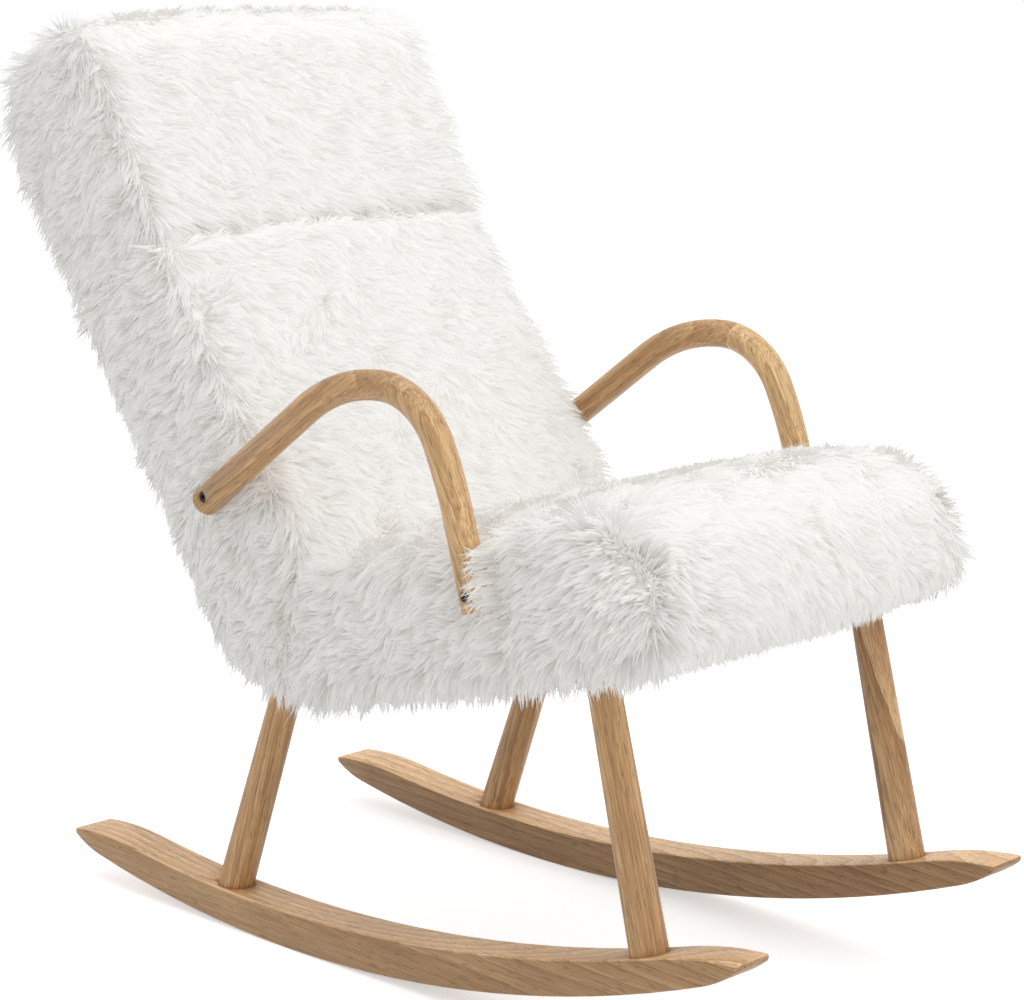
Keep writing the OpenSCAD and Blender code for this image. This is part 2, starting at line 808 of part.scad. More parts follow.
// The hole of an arm bolt through the side frame, with room for its tee nut
module arm_fixing(p) {
    cross_bar(p, 0, arm_outer, arm_bolt_d + 2 * hole_gap);
    cross_bar(p, frame_in - 1, frame_in + tee_barrel_t, tee_barrel_d + 2 * hole_gap);
}
module left_seat_rail() {
    color(frame_wood)
        seat_rail();
}
module right_seat_rail() {
    color(frame_wood)
        mirror([1, 0, 0])
            seat_rail();
}
module left_back_upright() {
    color(frame_wood)
        back_upright();
}
module right_back_upright() {
    color(frame_wood)
        mirror([1, 0, 0])
            back_upright();
}

// Two dowels at each end of each cross rail
dowel_in = 1.5 * dowel_d;
cross_mid = upright_front + cross_t / 2;
top_mid = upright_top - top_h / 2;
front_rail_dowels = [
    seat(rail_front - cross_t / 2, cross_low + dowel_in), seat(rail_front - cross_t / 2, cross_high - dowel_in)
];
rear_rail_dowels = [
    seat(rear_rail_s + cross_t / 2, cross_low + dowel_in), seat(rear_rail_s + cross_t / 2, cross_high - dowel_in)
];
lumbar_dowels = [back(lumbar_u + dowel_in, cross_mid), back(lumbar_u + lumbar_h - dowel_in, cross_mid)];
middle_dowels = [back(middle_u + dowel_in, cross_mid), back(middle_u + middle_h - dowel_in, cross_mid)];
top_dowels = [back(top_mid, upright_front + dowel_in), back(top_mid, upright_front + top_deep - dowel_in)];
dowel_places = concat(front_rail_dowels, rear_rail_dowels, lumbar_dowels, middle_dowels, top_dowels);
module dowels(room) {
    for (p = dowel_places)
        cross_bar(p, frame_in - dowel_len / 2 - 4 * room, frame_in + dowel_in_frame + 4 * room, dowel_d + 2 * room);
}
module cross_rail(corners) {
    difference() {
        across(2 * frame_in)
            polygon(corners);
        both_sides()
            dowels(hole_gap);
    }
}
module front_rail() {
    color(frame_wood)
        cross_rail([
            seat(front_rail_s, cross_low), seat(rail_front, cross_low),
            seat(rail_front, cross_high), seat(front_rail_s, cross_high)
        ]);
}
module rear_rail() {
    color(frame_wood)
        cross_rail([
            seat(rear_rail_s, cross_low), seat(rear_rail_s + cross_t, cross_low),
            seat(rear_rail_s + cross_t, cross_high), seat(rear_rail_s, cross_high)
        ]);
}
module lumbar_rail() {
    color(frame_wood)
        cross_rail([
            back(lumbar_u, upright_front), back(lumbar_u + lumbar_h, upright_front),
            back(lumbar_u + lumbar_h, upright_front + cross_t), back(lumbar_u, upright_front + cross_t)
        ]);
}
module middle_back_rail() {
    color(frame_wood)
        cross_rail([
            back(middle_u, upright_front), back(middle_u + middle_h, upright_front),
            back(middle_u + middle_h, upright_front + cross_t), back(middle_u, upright_front + cross_t)
        ]);
}
module top_rail() {
    color(frame_wood)
        cross_rail([
            back(upright_top - top_h, upright_front), back(upright_top, upright_front),
            back(upright_top, upright_front + top_deep), back(upright_top - top_h, upright_front + top_deep)
        ]);
}
module frame_dowels() {
    color(frame_wood)
        both_sides()
            dowels(0);
}

// Plywood gussets that tie each seat rail to its upright
gusset_x = frame_in - gusset_t / 2;
gusset_s = 50;
gusset_u = 60;
gusset_edge = 4;
screw_in = 16;
screw_places = [
    seat(gusset_s - screw_in, frame_low + 1.5 * screw_in), seat(gusset_s - screw_in, frame_high - screw_in),
    back(gusset_u - screw_in, upright_front + screw_in), back(gusset_u - screw_in, upright_rear - screw_in)
];
screw_len = 28;
screw_d = 4;
screw_head_d = 8;
screw_head_t = 2.2;
module screws(room) {
    for (p = screw_places) {
        cross_bar(p, frame_in - gusset_t, frame_in - gusset_t + screw_len + room, screw_d + 2 * room);
        cross_bar(p, frame_in - gusset_t - 0.01, frame_in - gusset_t + screw_head_t, screw_head_d + 2 * room);
    }
}
module corner_gussets() {
    color(frame_wood)
        both_sides()
            difference() {
                across(gusset_t, gusset_x)
                    polygon([
                        seat(gusset_s, frame_low + gusset_edge), seat(gusset_s, frame_high - gusset_edge),
                        frame_inner + gusset_edge * unit(frame_outer - frame_inner),
                        back(gusset_u, upright_front + gusset_edge), back(gusset_u, upright_rear - gusset_edge),
                        frame_outer + 1.5 * gusset_edge * unit(frame_inner - frame_outer),
                        frame_under + gusset_edge * [-1, 1.25]
                    ]);
                screws(hole_gap);
            }
}
module gusset_screws() {
    color(steel)
        both_sides()
            screws(0);
}

module back_straps() {
    color(webbing_colour)
        across(frame_w - 2 * (frame_t - strap_overlap))
            for (u = strap_places)
                polygon([
                    back(u, upright_front - strap_t), back(u + strap_w, upright_front - strap_t),
                    back(u + strap_w, upright_front), back(u, upright_front)
                ]);
}
module back_panel() {
    color(board)
        across(frame_w)
            polygon([
                back(panel_low, upright_rear), back(panel_high, upright_rear),
                back(panel_high, upright_rear + panel_t), back(panel_low, upright_rear + panel_t)
            ]);
}
module dust_cover() {
    color(cloth)
        across(2 * (frame_in + dust_edge))
            polygon([
                seat(rear_rail_s + dust_edge, frame_low - dust_t), seat(rail_front - dust_edge, frame_low - dust_t),
                seat(rail_front - dust_edge, frame_low), seat(rear_rail_s + dust_edge, frame_low)
            ]);
}

// Zigzag springs: a sine wave of wire over the two seat cross rails
wave_steps = 8;
wire_sides = 5;
spring_in = 8;
spring_from = rear_rail_s + spring_in;
spring_to = rail_front - spring_in;
spring_m = cross_high + wire_d / 2;
spring_side = 16;
spring_pitch = 2 * (foam_core_x - spring_reach - spring_side) / (spring_count - 1);
spring_places = [for (i = [0:spring_count - 1]) (i - (spring_count - 1) / 2) * spring_pitch];
function spring_point(f, x) =
    let(p = seat(spring_from + (spring_to - spring_from) * f, spring_m))
    [x + spring_reach * sin(360 * spring_waves * f), p[0], p[1]];
module spring(x) {
    n = spring_waves * wave_steps;
    up = [0, sin(seat_slope), cos(seat_slope)];
    route = [for (i = [0:n]) spring_point(i / n, x)];
    points = [
        for (i = [0:n])
        let(ahead = unit(route[min(i + 1, n)] - route[max(i - 1, 0)]), side = cross(ahead, up))
        for (k = [0:wire_sides - 1])
        let(a = 90 + 360 * k / wire_sides)
        route[i] + wire_d / 2 * (side * cos(a) + up * sin(a))
    ];
    walls = [
        for (i = [0:n - 1], k = [0:wire_sides - 1])
        let(a = i * wire_sides + k, b = i * wire_sides + (k + 1) % wire_sides)
        each [[a, a + wire_sides, b], [b, a + wire_sides, b + wire_sides]]
    ];
    ends = [[for (k = [0:wire_sides - 1]) k], [for (k = [wire_sides - 1:-1:0]) n * wire_sides + k]];
    polyhedron(points, concat(walls, ends));
}
module seat_springs() {
    color(steel)
        for (x = spring_places)
            spring(x);
}
// Folded clips that hold each spring end on its rail
clip_w = 16;
module clip(s, way, x) {
    wall = s + (spring_in - clip_t) * way;
    across(clip_w, x)
        difference() {
            polygon([
                seat(s, cross_high), seat(wall, cross_high), seat(wall, clip_high + clip_t), seat(s, clip_high + clip_t)
            ]);
            polygon([
                seat(s - way, cross_high - 1), seat(wall - clip_t * way, cross_high - 1),
                seat(wall - clip_t * way, clip_high), seat(s - way, clip_high)
            ]);
        }
}
module spring_clips() {
    color(steel)
        for (x = spring_places) {
            clip(spring_to, 1, x);
            clip(spring_from, -1, x);
        }
}

module hanger_bolt(top, dir) {
    high = top + top_socket * dir;
    bar(high - hanger_in_leg * dir, high + hanger_in_frame * dir, leg_bolt_d, leg_bolt_d, leg_x, rim);
}
module hanger_bolts() {
    color(steel)
        both_sides() {
            hanger_bolt(front_top, front_leg_dir);
            hanger_bolt(rear_top, rear_leg_dir);
        }
}
module foot_bolt(foot, dir) {
    head = foot - (foot_bolt_cover + foot_washer_t) * dir;
    bar(head - foot_head_t / 2 * dir, foot + foot_bolt_reach * dir, leg_bolt_d, leg_bolt_d, leg_x, rim);
    bar(head - foot_head_t * dir, head, 1.625 * leg_bolt_d, 1.625 * leg_bolt_d, leg_x, rim);
}
module foot_bolts() {
    color(steel)
        both_sides() {
            foot_bolt(front_foot, front_leg_dir);
            foot_bolt(rear_foot, rear_leg_dir);
        }
}
module foot_washer(foot, dir) {
    seat_at = foot - foot_bolt_cover * dir;
    difference() {
        bar(seat_at - foot_washer_t * dir, seat_at, 2 * leg_bolt_d, 2 * leg_bolt_d, leg_x, rim);
        bar(seat_at - 5 * dir, seat_at + dir, leg_bolt_d + 2 * hole_gap, leg_bolt_d + 2 * hole_gap, leg_x, rim);
    }
}
module foot_washers() {
    color(steel)
        both_sides() {
            foot_washer(front_foot, front_leg_dir);
            foot_washer(rear_foot, rear_leg_dir);
        }
}
module arm_bolt(p) {
    cross_bar(p, frame_in - 3, arm_head_seat, arm_bolt_d);
    difference() {
        cross_bar(p, arm_head_seat, arm_head_seat + arm_bolt_d, 1.67 * arm_bolt_d);
        cross_bar(p, arm_head_seat + arm_bolt_d / 2, arm_outer, 0.8 * arm_bolt_d, 6);
    }
}
module arm_bolts() {
    color(black_steel)
        both_sides() {
            arm_bolt(arm_rear_bolt);
            arm_bolt(arm_front_bolt);
        }
}
module tee_nut(p) {
    difference() {
        union() {
            cross_bar(p, frame_in - tee_flange_t, frame_in, tee_flange_d);
            cross_bar(p, frame_in - tee_flange_t, frame_in + tee_barrel_t - 0.5, tee_barrel_d);
        }
        cross_bar(p, frame_in - 5, frame_in + 2 * tee_barrel_t, arm_bolt_d + 2 * hole_gap);
    }
}
module arm_tee_nuts() {
    color(steel)
        both_sides() {
            tee_nut(arm_rear_bolt);
            tee_nut(arm_front_bolt);
        }
}

left_rocker();
right_rocker();
left_front_leg();
left_rear_leg();
right_front_leg();
right_rear_leg();
left_arm_front();
left_arm_rear();
right_arm_front();
right_arm_rear();
seat_cushion();
back_cushion();
headrest_cushion();
seat_foam();
back_foam();
headrest_foam();
left_seat_rail();
right_seat_rail();
left_back_upright();
right_back_upright();
front_rail();
rear_rail();
lumbar_rail();
middle_back_rail();
top_rail();
corner_gussets();
gusset_screws();
frame_dowels();
back_straps();
back_panel();
seat_springs();
spring_clips();
dust_cover();
hanger_bolts();
foot_bolts();
foot_washers();
arm_bolts();
arm_tee_nuts();
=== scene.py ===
# Upholstered rocking chair: two wooden rockers, round legs, arched arms and a seat, back
# and headrest in long white pile. The sections follow the chair as it is put together.
import math

import bmesh
import bpy
import numpy as np
from mathutils import Matrix, Vector
from mathutils.bvhtree import BVHTree
from mathutils.kdtree import KDTree


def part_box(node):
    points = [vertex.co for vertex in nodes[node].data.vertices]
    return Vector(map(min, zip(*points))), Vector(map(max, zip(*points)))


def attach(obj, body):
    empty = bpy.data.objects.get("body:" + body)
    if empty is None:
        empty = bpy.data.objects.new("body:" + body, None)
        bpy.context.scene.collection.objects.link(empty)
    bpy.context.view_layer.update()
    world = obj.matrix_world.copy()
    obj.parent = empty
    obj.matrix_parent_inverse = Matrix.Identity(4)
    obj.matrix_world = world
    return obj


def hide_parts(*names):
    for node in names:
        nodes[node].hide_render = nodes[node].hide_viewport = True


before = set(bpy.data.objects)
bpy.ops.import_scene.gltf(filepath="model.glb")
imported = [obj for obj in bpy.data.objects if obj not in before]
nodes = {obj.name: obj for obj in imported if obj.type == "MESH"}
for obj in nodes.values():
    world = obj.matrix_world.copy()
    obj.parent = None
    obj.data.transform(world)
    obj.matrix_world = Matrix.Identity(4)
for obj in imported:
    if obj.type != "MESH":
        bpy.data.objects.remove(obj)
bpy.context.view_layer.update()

# Camera and light
# The chair is seen from its front right, with a long lens that looks a little down. A large soft
# light stands in front of it on its left, another hangs over it, and a white room fills the rest.
scene = bpy.context.scene
scene.view_settings.view_transform = "Standard"
camera_data = bpy.data.cameras.new("camera")
camera_data.lens = 103.45
camera_data.sensor_width = 36
camera = bpy.data.objects.new("camera", camera_data)
camera.location = (-2.1567, -2.1915, 1.0456)
look_down, look_aside = 11.077, 46
camera.rotation_euler = (math.radians(90 - look_down), 0, math.radians(-look_aside))
scene.collection.objects.link(camera)
scene.camera = camera


def soft_light(name, place, aim, size, watts, colour=(1, 1, 1)):
    """A square lamp that stands at a place and shines towards its aim."""
    lamp = bpy.data.lights.new(name, "AREA")
    lamp.color = colour
    lamp.shape = "SQUARE"
    lamp.size = size
    lamp.energy = watts
    holder = bpy.data.objects.new(name, lamp)
    holder.location = place
    holder.rotation_euler = (Vector(aim) - Vector(place)).to_track_quat("-Z", "Y").to_euler()
    scene.collection.objects.link(holder)


panel_size = 2.4
warm_white = (1, 0.97, 0.92)
key_place, key_aim = (1.0, -3.0, 2.6), (0, -0.1, 0.5)
top_place, top_aim = (-0.4, 0.2, 3.4), (0, 0, 0.5)
soft_light("key_light", key_place, key_aim, size=panel_size, watts=31, colour=warm_white)
soft_light("top_light", top_place, top_aim, size=panel_size, watts=24)


def seen_by_eye(tree):
    """1 where the camera, a reflection or a view through glass looks, and 0 for plain light."""
    paths = tree.nodes.new("ShaderNodeLightPath")
    mirrored = tree.nodes.new("ShaderNodeMath")
    mirrored.operation = "MAXIMUM"
    tree.links.new(paths.outputs["Is Glossy Ray"], mirrored.inputs[0])
    tree.links.new(paths.outputs["Is Transmission Ray"], mirrored.inputs[1])
    seen = tree.nodes.new("ShaderNodeMath")
    seen.operation = "MAXIMUM"
    tree.links.new(paths.outputs["Is Camera Ray"], seen.inputs[0])
    tree.links.new(mirrored.outputs[0], seen.inputs[1])
    return seen.outputs[0]


def between(tree, factor, low, high):
    """A value that runs from low to high as the factor runs from 0 to 1."""
    level = tree.nodes.new("ShaderNodeMapRange")
    level.inputs["To Min"].default_value = low
    level.inputs["To Max"].default_value = high
    tree.links.new(factor, level.inputs["Value"])
    return level.outputs["Result"]


room = bpy.data.worlds.new("white_room")
room.use_nodes = True
room_light = room.node_tree.nodes["Background"]
room_light.inputs["Color"].default_value = (1, 1, 1, 1)
room_light_level, room_seen_level = 0.76, 1.0
room_level = between(
    room.node_tree, seen_by_eye(room.node_tree), room_light_level, room_seen_level
)
room.node_tree.links.new(room_level, room_light.inputs["Strength"])
scene.world = room

# Floor
# A plain white studio floor. It is lit enough to vanish into the white room, and keeps the shadow.
floor_shape = bmesh.new()
floor_reach = 14
bmesh.ops.create_grid(floor_shape, x_segments=1, y_segments=1, size=floor_reach)
floor_data = bpy.data.meshes.new("floor")
floor_shape.to_mesh(floor_data)
floor_shape.free()
floor = bpy.data.objects.new("floor", floor_data)
scene.collection.objects.link(floor)
floor_paint = bpy.data.materials.new("white_floor")
floor_paint.use_nodes = True
floor_tree = floor_paint.node_tree
floor_surface = floor_tree.nodes["Principled BSDF"]
floor_surface.inputs["Base Color"].default_value = (0.88, 0.88, 0.88, 1)
floor_surface.inputs["Roughness"].default_value = 0.9
floor_surface.inputs["Specular IOR Level"].default_value = 0.1
floor_surface.inputs["Emission Color"].default_value = (1, 1, 1, 1)
floor_seen_glow = 0.5
floor_glow = between(floor_tree, seen_by_eye(floor_tree), 0, floor_seen_glow)
floor_tree.links.new(floor_glow, floor_surface.inputs["Emission Strength"])
floor_data.materials.append(floor_paint)

# Rockers
# Two solid boards, 50 mm wide, sawn to a long curve and thinned to rounded tips. Painted light and
# shade: their tops are painted paler and their sides darker, the left rocker's more than the
# right's. The legs stand in shallow sockets and are bolted from below.


def merged_copy(node):
    """The shape of a CAD node, with its loose triangles joined and its flat faces whole."""
    join_distance, flat_angle = 2e-5, math.radians(0.5)
    shape = bmesh.new()
    shape.from_mesh(nodes[node].data)
    bmesh.ops.remove_doubles(shape, verts=shape.verts, dist=join_distance)
    bmesh.ops.dissolve_limit(
        shape, angle_limit=flat_angle, verts=shape.verts, edges=shape.edges
    )
    return shape


def corners(shape, least):
    """Edges where two faces meet at an angle of at least this many degrees."""
    return [
        e
        for e in shape.edges
        if len(e.link_faces) == 2 and e.calc_face_angle() > math.radians(least)
    ]


def rounded(shape, edges, width, steps=3):
    """Rounds some edges of a shape."""
    bmesh.ops.bevel(
        shape,
        geom=edges,
        offset=width,
        offset_type="OFFSET",
        segments=steps,
        profile=0.5,
        affect="EDGES",
        material=-1,
        clamp_overlap=True,
    )


def piece(name, shape, finish, slot, *stands_for):
    """A finished piece of the chair, which stands for the CAD nodes named."""
    sharp_angle = math.radians(38)
    data = bpy.data.meshes.new(name)
    shape.to_mesh(data)
    shape.free()
    data.polygons.foreach_set("use_smooth", [True] * len(data.polygons))
    data.set_sharp_from_angle(angle=sharp_angle)
    data.materials.clear()
    data.materials.append(finish)
    made = bpy.data.objects.new(name, data)
    scene.collection.objects.link(made)
    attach(made, "root")
    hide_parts(*stands_for)
    return made


def node_maker(tree):
    """A short way to add a shader node, set its sockets and link what feeds them."""

    def add(kind, settings=None, **sockets):
        made = tree.nodes.new("ShaderNode" + kind)
        for key, value in (settings or {}).items():
            setattr(made, key, value)
        for key, value in sockets.items():
            socket = made.inputs[int(key[1:])] if key[0] == "i" and key[1:].isdigit() else None
            socket = socket or made.inputs[key.replace("_", " ")]
            if isinstance(value, bpy.types.NodeSocket):
                tree.links.new(value, socket)
            else:
                socket.default_value = value
        return made

    return add


def new_finish(name, roughness):
    """A new material, its surface node and the short way to add nodes to it."""
    finish = bpy.data.materials.new(name)
    finish.use_nodes = True
    surface = finish.node_tree.nodes["Principled BSDF"]
    surface.inputs["Roughness"].default_value = roughness
    return finish, surface, node_maker(finish.node_tree)


def tone_steps(add, factor, *steps):
    """A colour ramp from (place, colour) pairs. A colour may also be one number, for a grey."""
    ramp = add("ValToRGB", None, Fac=factor)
    marks = ramp.color_ramp.elements
    marks[0].position = steps[0][0]
    marks[1].position = steps[-1][0]
    for place, _ in steps[1:-1]:
        marks.new(place)
    for mark, (_, colour) in zip(marks, steps):
        mark.color = (*colour, 1) if isinstance(colour, tuple) else (colour, colour, colour, 1)
    return ramp.outputs["Color"]


def toned(add, colour, factor, *steps, share=1.0):
    """A colour multiplied by a colour ramp."""
    return blend(add, "MULTIPLY", share, colour, tone_steps(add, factor, *steps))


def noise(add, place, scale, detail, **sockets):
    """How a noise texture rises and falls."""
    return add("TexNoise", None, Vector=place, Scale=scale, Detail=detail, **sockets).outputs["Fac"]


def stretched(add, place, *scale):
    """A place drawn out along some of its axes."""
    return add("Mapping", None, Vector=place, Scale=scale).outputs["Vector"]


def finished(finish, surface, add, body, height, strength, depth):
    """Gives a surface its colour and the relief of a height."""
    finish.node_tree.links.new(body, surface.inputs["Base Color"])
    bump = add("Bump", None, Strength=strength, Distance=depth, Height=height)
    finish.node_tree.links.new(bump.outputs["Normal"], surface.inputs["Normal"])


def blend(add, kind, factor, a, b):
    """Mixes or multiplies two colours."""
    mixer = add("Mix", {"data_type": "RGBA", "blend_type": kind})
    for index, value in ((0, factor), (6, a), (7, b)):
        if isinstance(value, bpy.types.NodeSocket):
            mixer.id_data.links.new(value, mixer.inputs[index])
        else:
            mixer.inputs[index].default_value = value if index == 0 else (*value, 1)
    return mixer.outputs[2]


def middle(node):
    """The middle of a CAD node's box."""
    low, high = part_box(node)
    return (Vector(low) + Vector(high)) / 2


def timber(
    name,
    node,
    along,
    heart,
    tilt=2.0,
    pale=(0.70, 0.45, 0.225),
    tan=(0.51, 0.30, 0.13),
    rough=(0.36, 0.55),
    ring_scale=30.0,
    faces=None,
    streaks=0.38,
    fine=(0.62, 0.56, 0.50),
):
    """Wood for one piece. Its grain runs along a direction, round a heart beside its middle."""
    finish, surface, add = new_finish(name, roughness=0.42)
    turn = Vector(along).normalized().rotation_difference(Vector((0, 1, 0)))
    turn = Matrix.Rotation(math.radians(tilt), 3, "X") @ turn.to_matrix()
    place = add("TexCoord").outputs["Object"]
    shift = Vector((heart[0], 0, heart[1])) - turn @ middle(node)
    board = add("Mapping", None, Vector=place, Rotation=turn.to_euler(), Location=shift)
    board = board.outputs["Vector"]
    long_grain = stretched(add, board, 1, 0.12, 1)
    sway = add("TexNoise", None, Vector=long_grain, Scale=22.0, Detail=2.0).outputs["Color"]
    sway = add("VectorMath", {"operation": "SUBTRACT"}, i0=sway, i1=(0.5, 0.5, 0.5)).outputs[0]
    wander = (0.014, 0.0, 0.014)
    bent = add("VectorMath", {"operation": "MULTIPLY_ADD"}, i0=sway, i1=wander, i2=board).outputs[0]
    rings = add(
        "TexWave",
        {"wave_type": "RINGS", "rings_direction": "Y", "wave_profile": "SAW"},
        Vector=bent,
        Scale=ring_scale,
        Distortion=0.5,
        Detail=2.0,
        Detail_Scale=1.5,
    ).outputs["Fac"]
    fibre_place = stretched(add, board, 1, 0.022, 1)
    fibre = noise(add, fibre_place, scale=620.0, detail=4.0, Roughness=0.7)
    streak = noise(add, fibre_place, scale=120.0, detail=3.0)
    pores = noise(add, stretched(add, board, 1, 0.09, 1), scale=600.0, detail=1.5)
    pores = add("MapRange", None, Value=pores, From_Min=0.60, From_Max=0.68).outputs["Result"]
    patch = noise(add, place, scale=7.0, detail=2.0)

    late_shade, pore_brown, pore_depth = (0.80, 0.74, 0.68), (0.20, 0.105, 0.045), 0.6
    late = tuple(c * d for c, d in zip(tan, late_shade))
    body = tone_steps(add, rings, (0.0, pale), (0.72, tan), (0.95, late), (1.0, pale))
    body = blend(add, "MIX", streaks, body, tone_steps(add, streak, (0.32, late), (0.66, pale)))
    body = toned(add, body, fibre, (0.36, fine), (0.62, (1.10, 1.09, 1.08)))
    body = toned(add, body, patch, (0.28, (0.86, 0.83, 0.80)), (0.72, (1.08, 1.07, 1.06)))
    pore_share = add("Math", {"operation": "MULTIPLY"}, i0=pores, i1=pore_depth).outputs[0]
    body = blend(add, "MIX", pore_share, body, pore_brown)
    # Painted light and shade: faces that look up take the second colour of faces and are made
    # paler, faces that look sideways or down take the first and are made darker.
    if faces:
        own_face = add("NewGeometry").outputs["Normal"]
        upward = add("SeparateXYZ", None, Vector=own_face).outputs["Z"]
        body = toned(add, body, upward, (0.35, faces[0]), (0.75, faces[1]))
    rough = add("MapRange", None, Value=fibre, To_Min=rough[0], To_Max=rough[1]).outputs["Result"]
    finish.node_tree.links.new(rough, surface.inputs["Roughness"])
    height = add("Math", {"operation": "SUBTRACT"}, i0=fibre, i1=pores).outputs[0]
    finished(finish, surface, add, body, height, strength=0.35, depth=0.00025)
    return finish


foot_x, foot_reach = 0.199, 0.021
board_tones = {"pale": (0.74, 0.50, 0.28), "tan": (0.62, 0.38, 0.185), "fine": (0.72, 0.66, 0.60)}
# Painted light and shade: the first colour of each rocker darkens its sides and the second makes
# its top paler. The left rocker's sides are darker and its top paler still.
for side, painted_side_shade, planed_and_top_light, heart in (
    ("left", (0.56, 0.53, 0.49), (1.5, 1.6, 1.75), (0.03, 0.055)),
    ("right", (0.68, 0.66, 0.61), (1.25, 1.31, 1.42), (-0.04, 0.05)),
):
    board = merged_copy(side + "_rocker")
    outer = [
        e
        for e in corners(board, least=25)
        if any(abs(abs(v.co.x) - foot_x) > foot_reach for v in e.verts)
    ]
    rounded(board, outer, width=0.0025)
    wood = timber(
        side + "_rocker_wood",
        side + "_rocker",
        (0, 1, 0.08),
        heart=heart,
        faces=(painted_side_shade, planed_and_top_light),
        streaks=0.18,
        **board_tones,
    )
    piece(side + "_rocker_board", board, wood, "oiled_wood", side + "_rocker")

# Legs
# Four round legs, turned from the same wood and thinner towards the top. Each foot stands in its
# rocker's socket, and a bolt with two threads holds its top to the side rail.


def long_axis(shape):
    """The direction in which a piece is longest."""
    points = np.array([v.co for v in shape.verts])
    spread = np.cov((points - points.mean(0)).T)
    return Vector(np.linalg.eigh(spread)[1][:, 2])


leg_grains = {
    "left_front_leg": {
        "heart": (0.004, -0.016),
        "tilt": 6.5,
        "streaks": 0.1,
        "pale": (0.78, 0.53, 0.285),
        "tan": (0.47, 0.265, 0.11),
        "ring_scale": 22.0,
    },
    "left_rear_leg": {"heart": (0.02, 0.02), "tilt": 3.0, "streaks": 0.3},
    "right_front_leg": {"heart": (-0.03, 0.03), "tilt": 1.6, "streaks": 0.15},
    "right_rear_leg": {"heart": (0.03, -0.02), "tilt": 2.5, "streaks": 0.3},
}
for node, grain in leg_grains.items():
    turned = merged_copy(node)
    axis = long_axis(turned)
    rounded(turned, corners(turned, least=50), width=0.0012, steps=2)
    wood = timber(node + "_wood", node, axis, **grain)
    piece(node + "_turning", turned, wood, "oiled_wood", node)

# Frame
# Rails and uprights of planed softwood, which the cover hides. The rails meet the side pieces on
# pairs of beech dowels, and two plywood corners are screwed in where the seat meets the back.
seat_way = Vector((0, -0.9763, 0.2164))
seat_up = Vector((0, 0.2164, 0.9763))
back_way = Vector((0, 0.5563, 0.8310))
softwood = {"pale": (0.68, 0.50, 0.29), "tan": (0.55, 0.36, 0.18), "rough": (0.55, 0.75)}
grain_ways = {
    "left_seat_rail": seat_way,
    "right_seat_rail": seat_way,
    "left_back_upright": back_way,
    "right_back_upright": back_way,
    "front_rail": (1, 0, 0),
    "rear_rail": (1, 0, 0),
    "lumbar_rail": (1, 0, 0),
    "middle_back_rail": (1, 0, 0),
    "top_rail": (1, 0, 0),
}
for index, (node, along) in enumerate(grain_ways.items()):
    heart, tilt = (0.03 + 0.006 * index, 0.05 - 0.009 * index), 1.0 + 0.3 * index
    planed_and_top_light = timber(node + "_wood", node, along, heart=heart, tilt=tilt, **softwood)
    nodes[node].material_slots[0].material = planed_and_top_light
beech = timber(
    "dowel_beech",
    "frame_dowels",
    (1, 0, 0),
    heart=(0.02, 0.03),
    pale=(0.56, 0.37, 0.22),
    tan=(0.46, 0.28, 0.15),
    rough=(0.5, 0.7),
)
nodes["frame_dowels"].material_slots[0].material = beech

plywood, plywood_surface, add = new_finish("corner_plywood", roughness=0.6)
place = add("TexCoord").outputs["Object"]
flat_turn = seat_up.rotation_difference(Vector((0, 0, 1))).to_euler()
sheet_place = add("Mapping", None, Vector=place, Rotation=flat_turn).outputs["Vector"]
plies = add("TexWave", {"bands_direction": "Z"}, Vector=sheet_place, Scale=115.0, Distortion=0.3)
face_place = stretched(add, sheet_place, 0.05, 1, 1)
face_grain = noise(add, face_place, scale=210.0, detail=4.0, Distortion=0.4)
veneer = tone_steps(add, face_grain, (0.3, (0.42, 0.26, 0.125)), (0.7, (0.58, 0.40, 0.22)))
ply_lines = ((0.4, (0.62, 0.55, 0.48)), (0.6, 1.0))
veneer = toned(add, veneer, plies.outputs["Fac"], *ply_lines, share=0.8)
finished(plywood, plywood_surface, add, veneer, face_grain, strength=0.4, depth=0.0003)
nodes["corner_gussets"].material_slots[0].material = plywood

# Screws and bolts
# Zinc plated steel: wood screws through the plywood corners, bolts with two threads in the leg
# tops, bolts and washers under the rockers, and nuts with spikes for the arms' black screws.


def metal(name, colour, roughness, cloud, metallic=1.0):
    """Plated or bare steel with a faint cloudiness and fine marks."""
    finish, surface, add = new_finish(name, roughness=roughness)
    surface.inputs["Metallic"].default_value = metallic
    place = add("TexCoord").outputs["Object"]
    clouds = noise(add, place, scale=160.0, detail=4.0)
    marks = noise(add, place, scale=2400.0, detail=2.0)
    darker = tuple(c * (1 - cloud) for c in colour)
    body = tone_steps(add, clouds, (0.35, darker), (0.65, colour))
    sheen = add("MapRange", None, Value=marks, To_Min=roughness - 0.08, To_Max=roughness + 0.12)
    finish.node_tree.links.new(sheen.outputs["Result"], surface.inputs["Roughness"])
    finished(finish, surface, add, body, marks, strength=0.15, depth=0.0001)
    return finish


zinc = metal("zinc_steel", (0.60, 0.62, 0.64), roughness=0.34, cloud=0.18)
black_oxide = metal(
    "black_screw_steel", (0.035, 0.035, 0.038), roughness=0.42, cloud=0.3, metallic=0.7
)
for node in ("gusset_screws", "hanger_bolts", "foot_bolts", "foot_washers", "arm_tee_nuts"):
    nodes[node].material_slots[0].material = zinc
nodes["arm_bolts"].material_slots[0].material = black_oxide

# Seat springs
# Four zigzag springs of hard drawn wire run from front to back over the seat's cross rails. Zinc
# clips nailed to the rails hold their ends.
spring_wire = metal("spring_wire", (0.30, 0.30, 0.31), roughness=0.36, cloud=0.25)
nodes["seat_springs"].material_slots[0].material = spring_wire
nodes["spring_clips"].material_slots[0].material = zinc

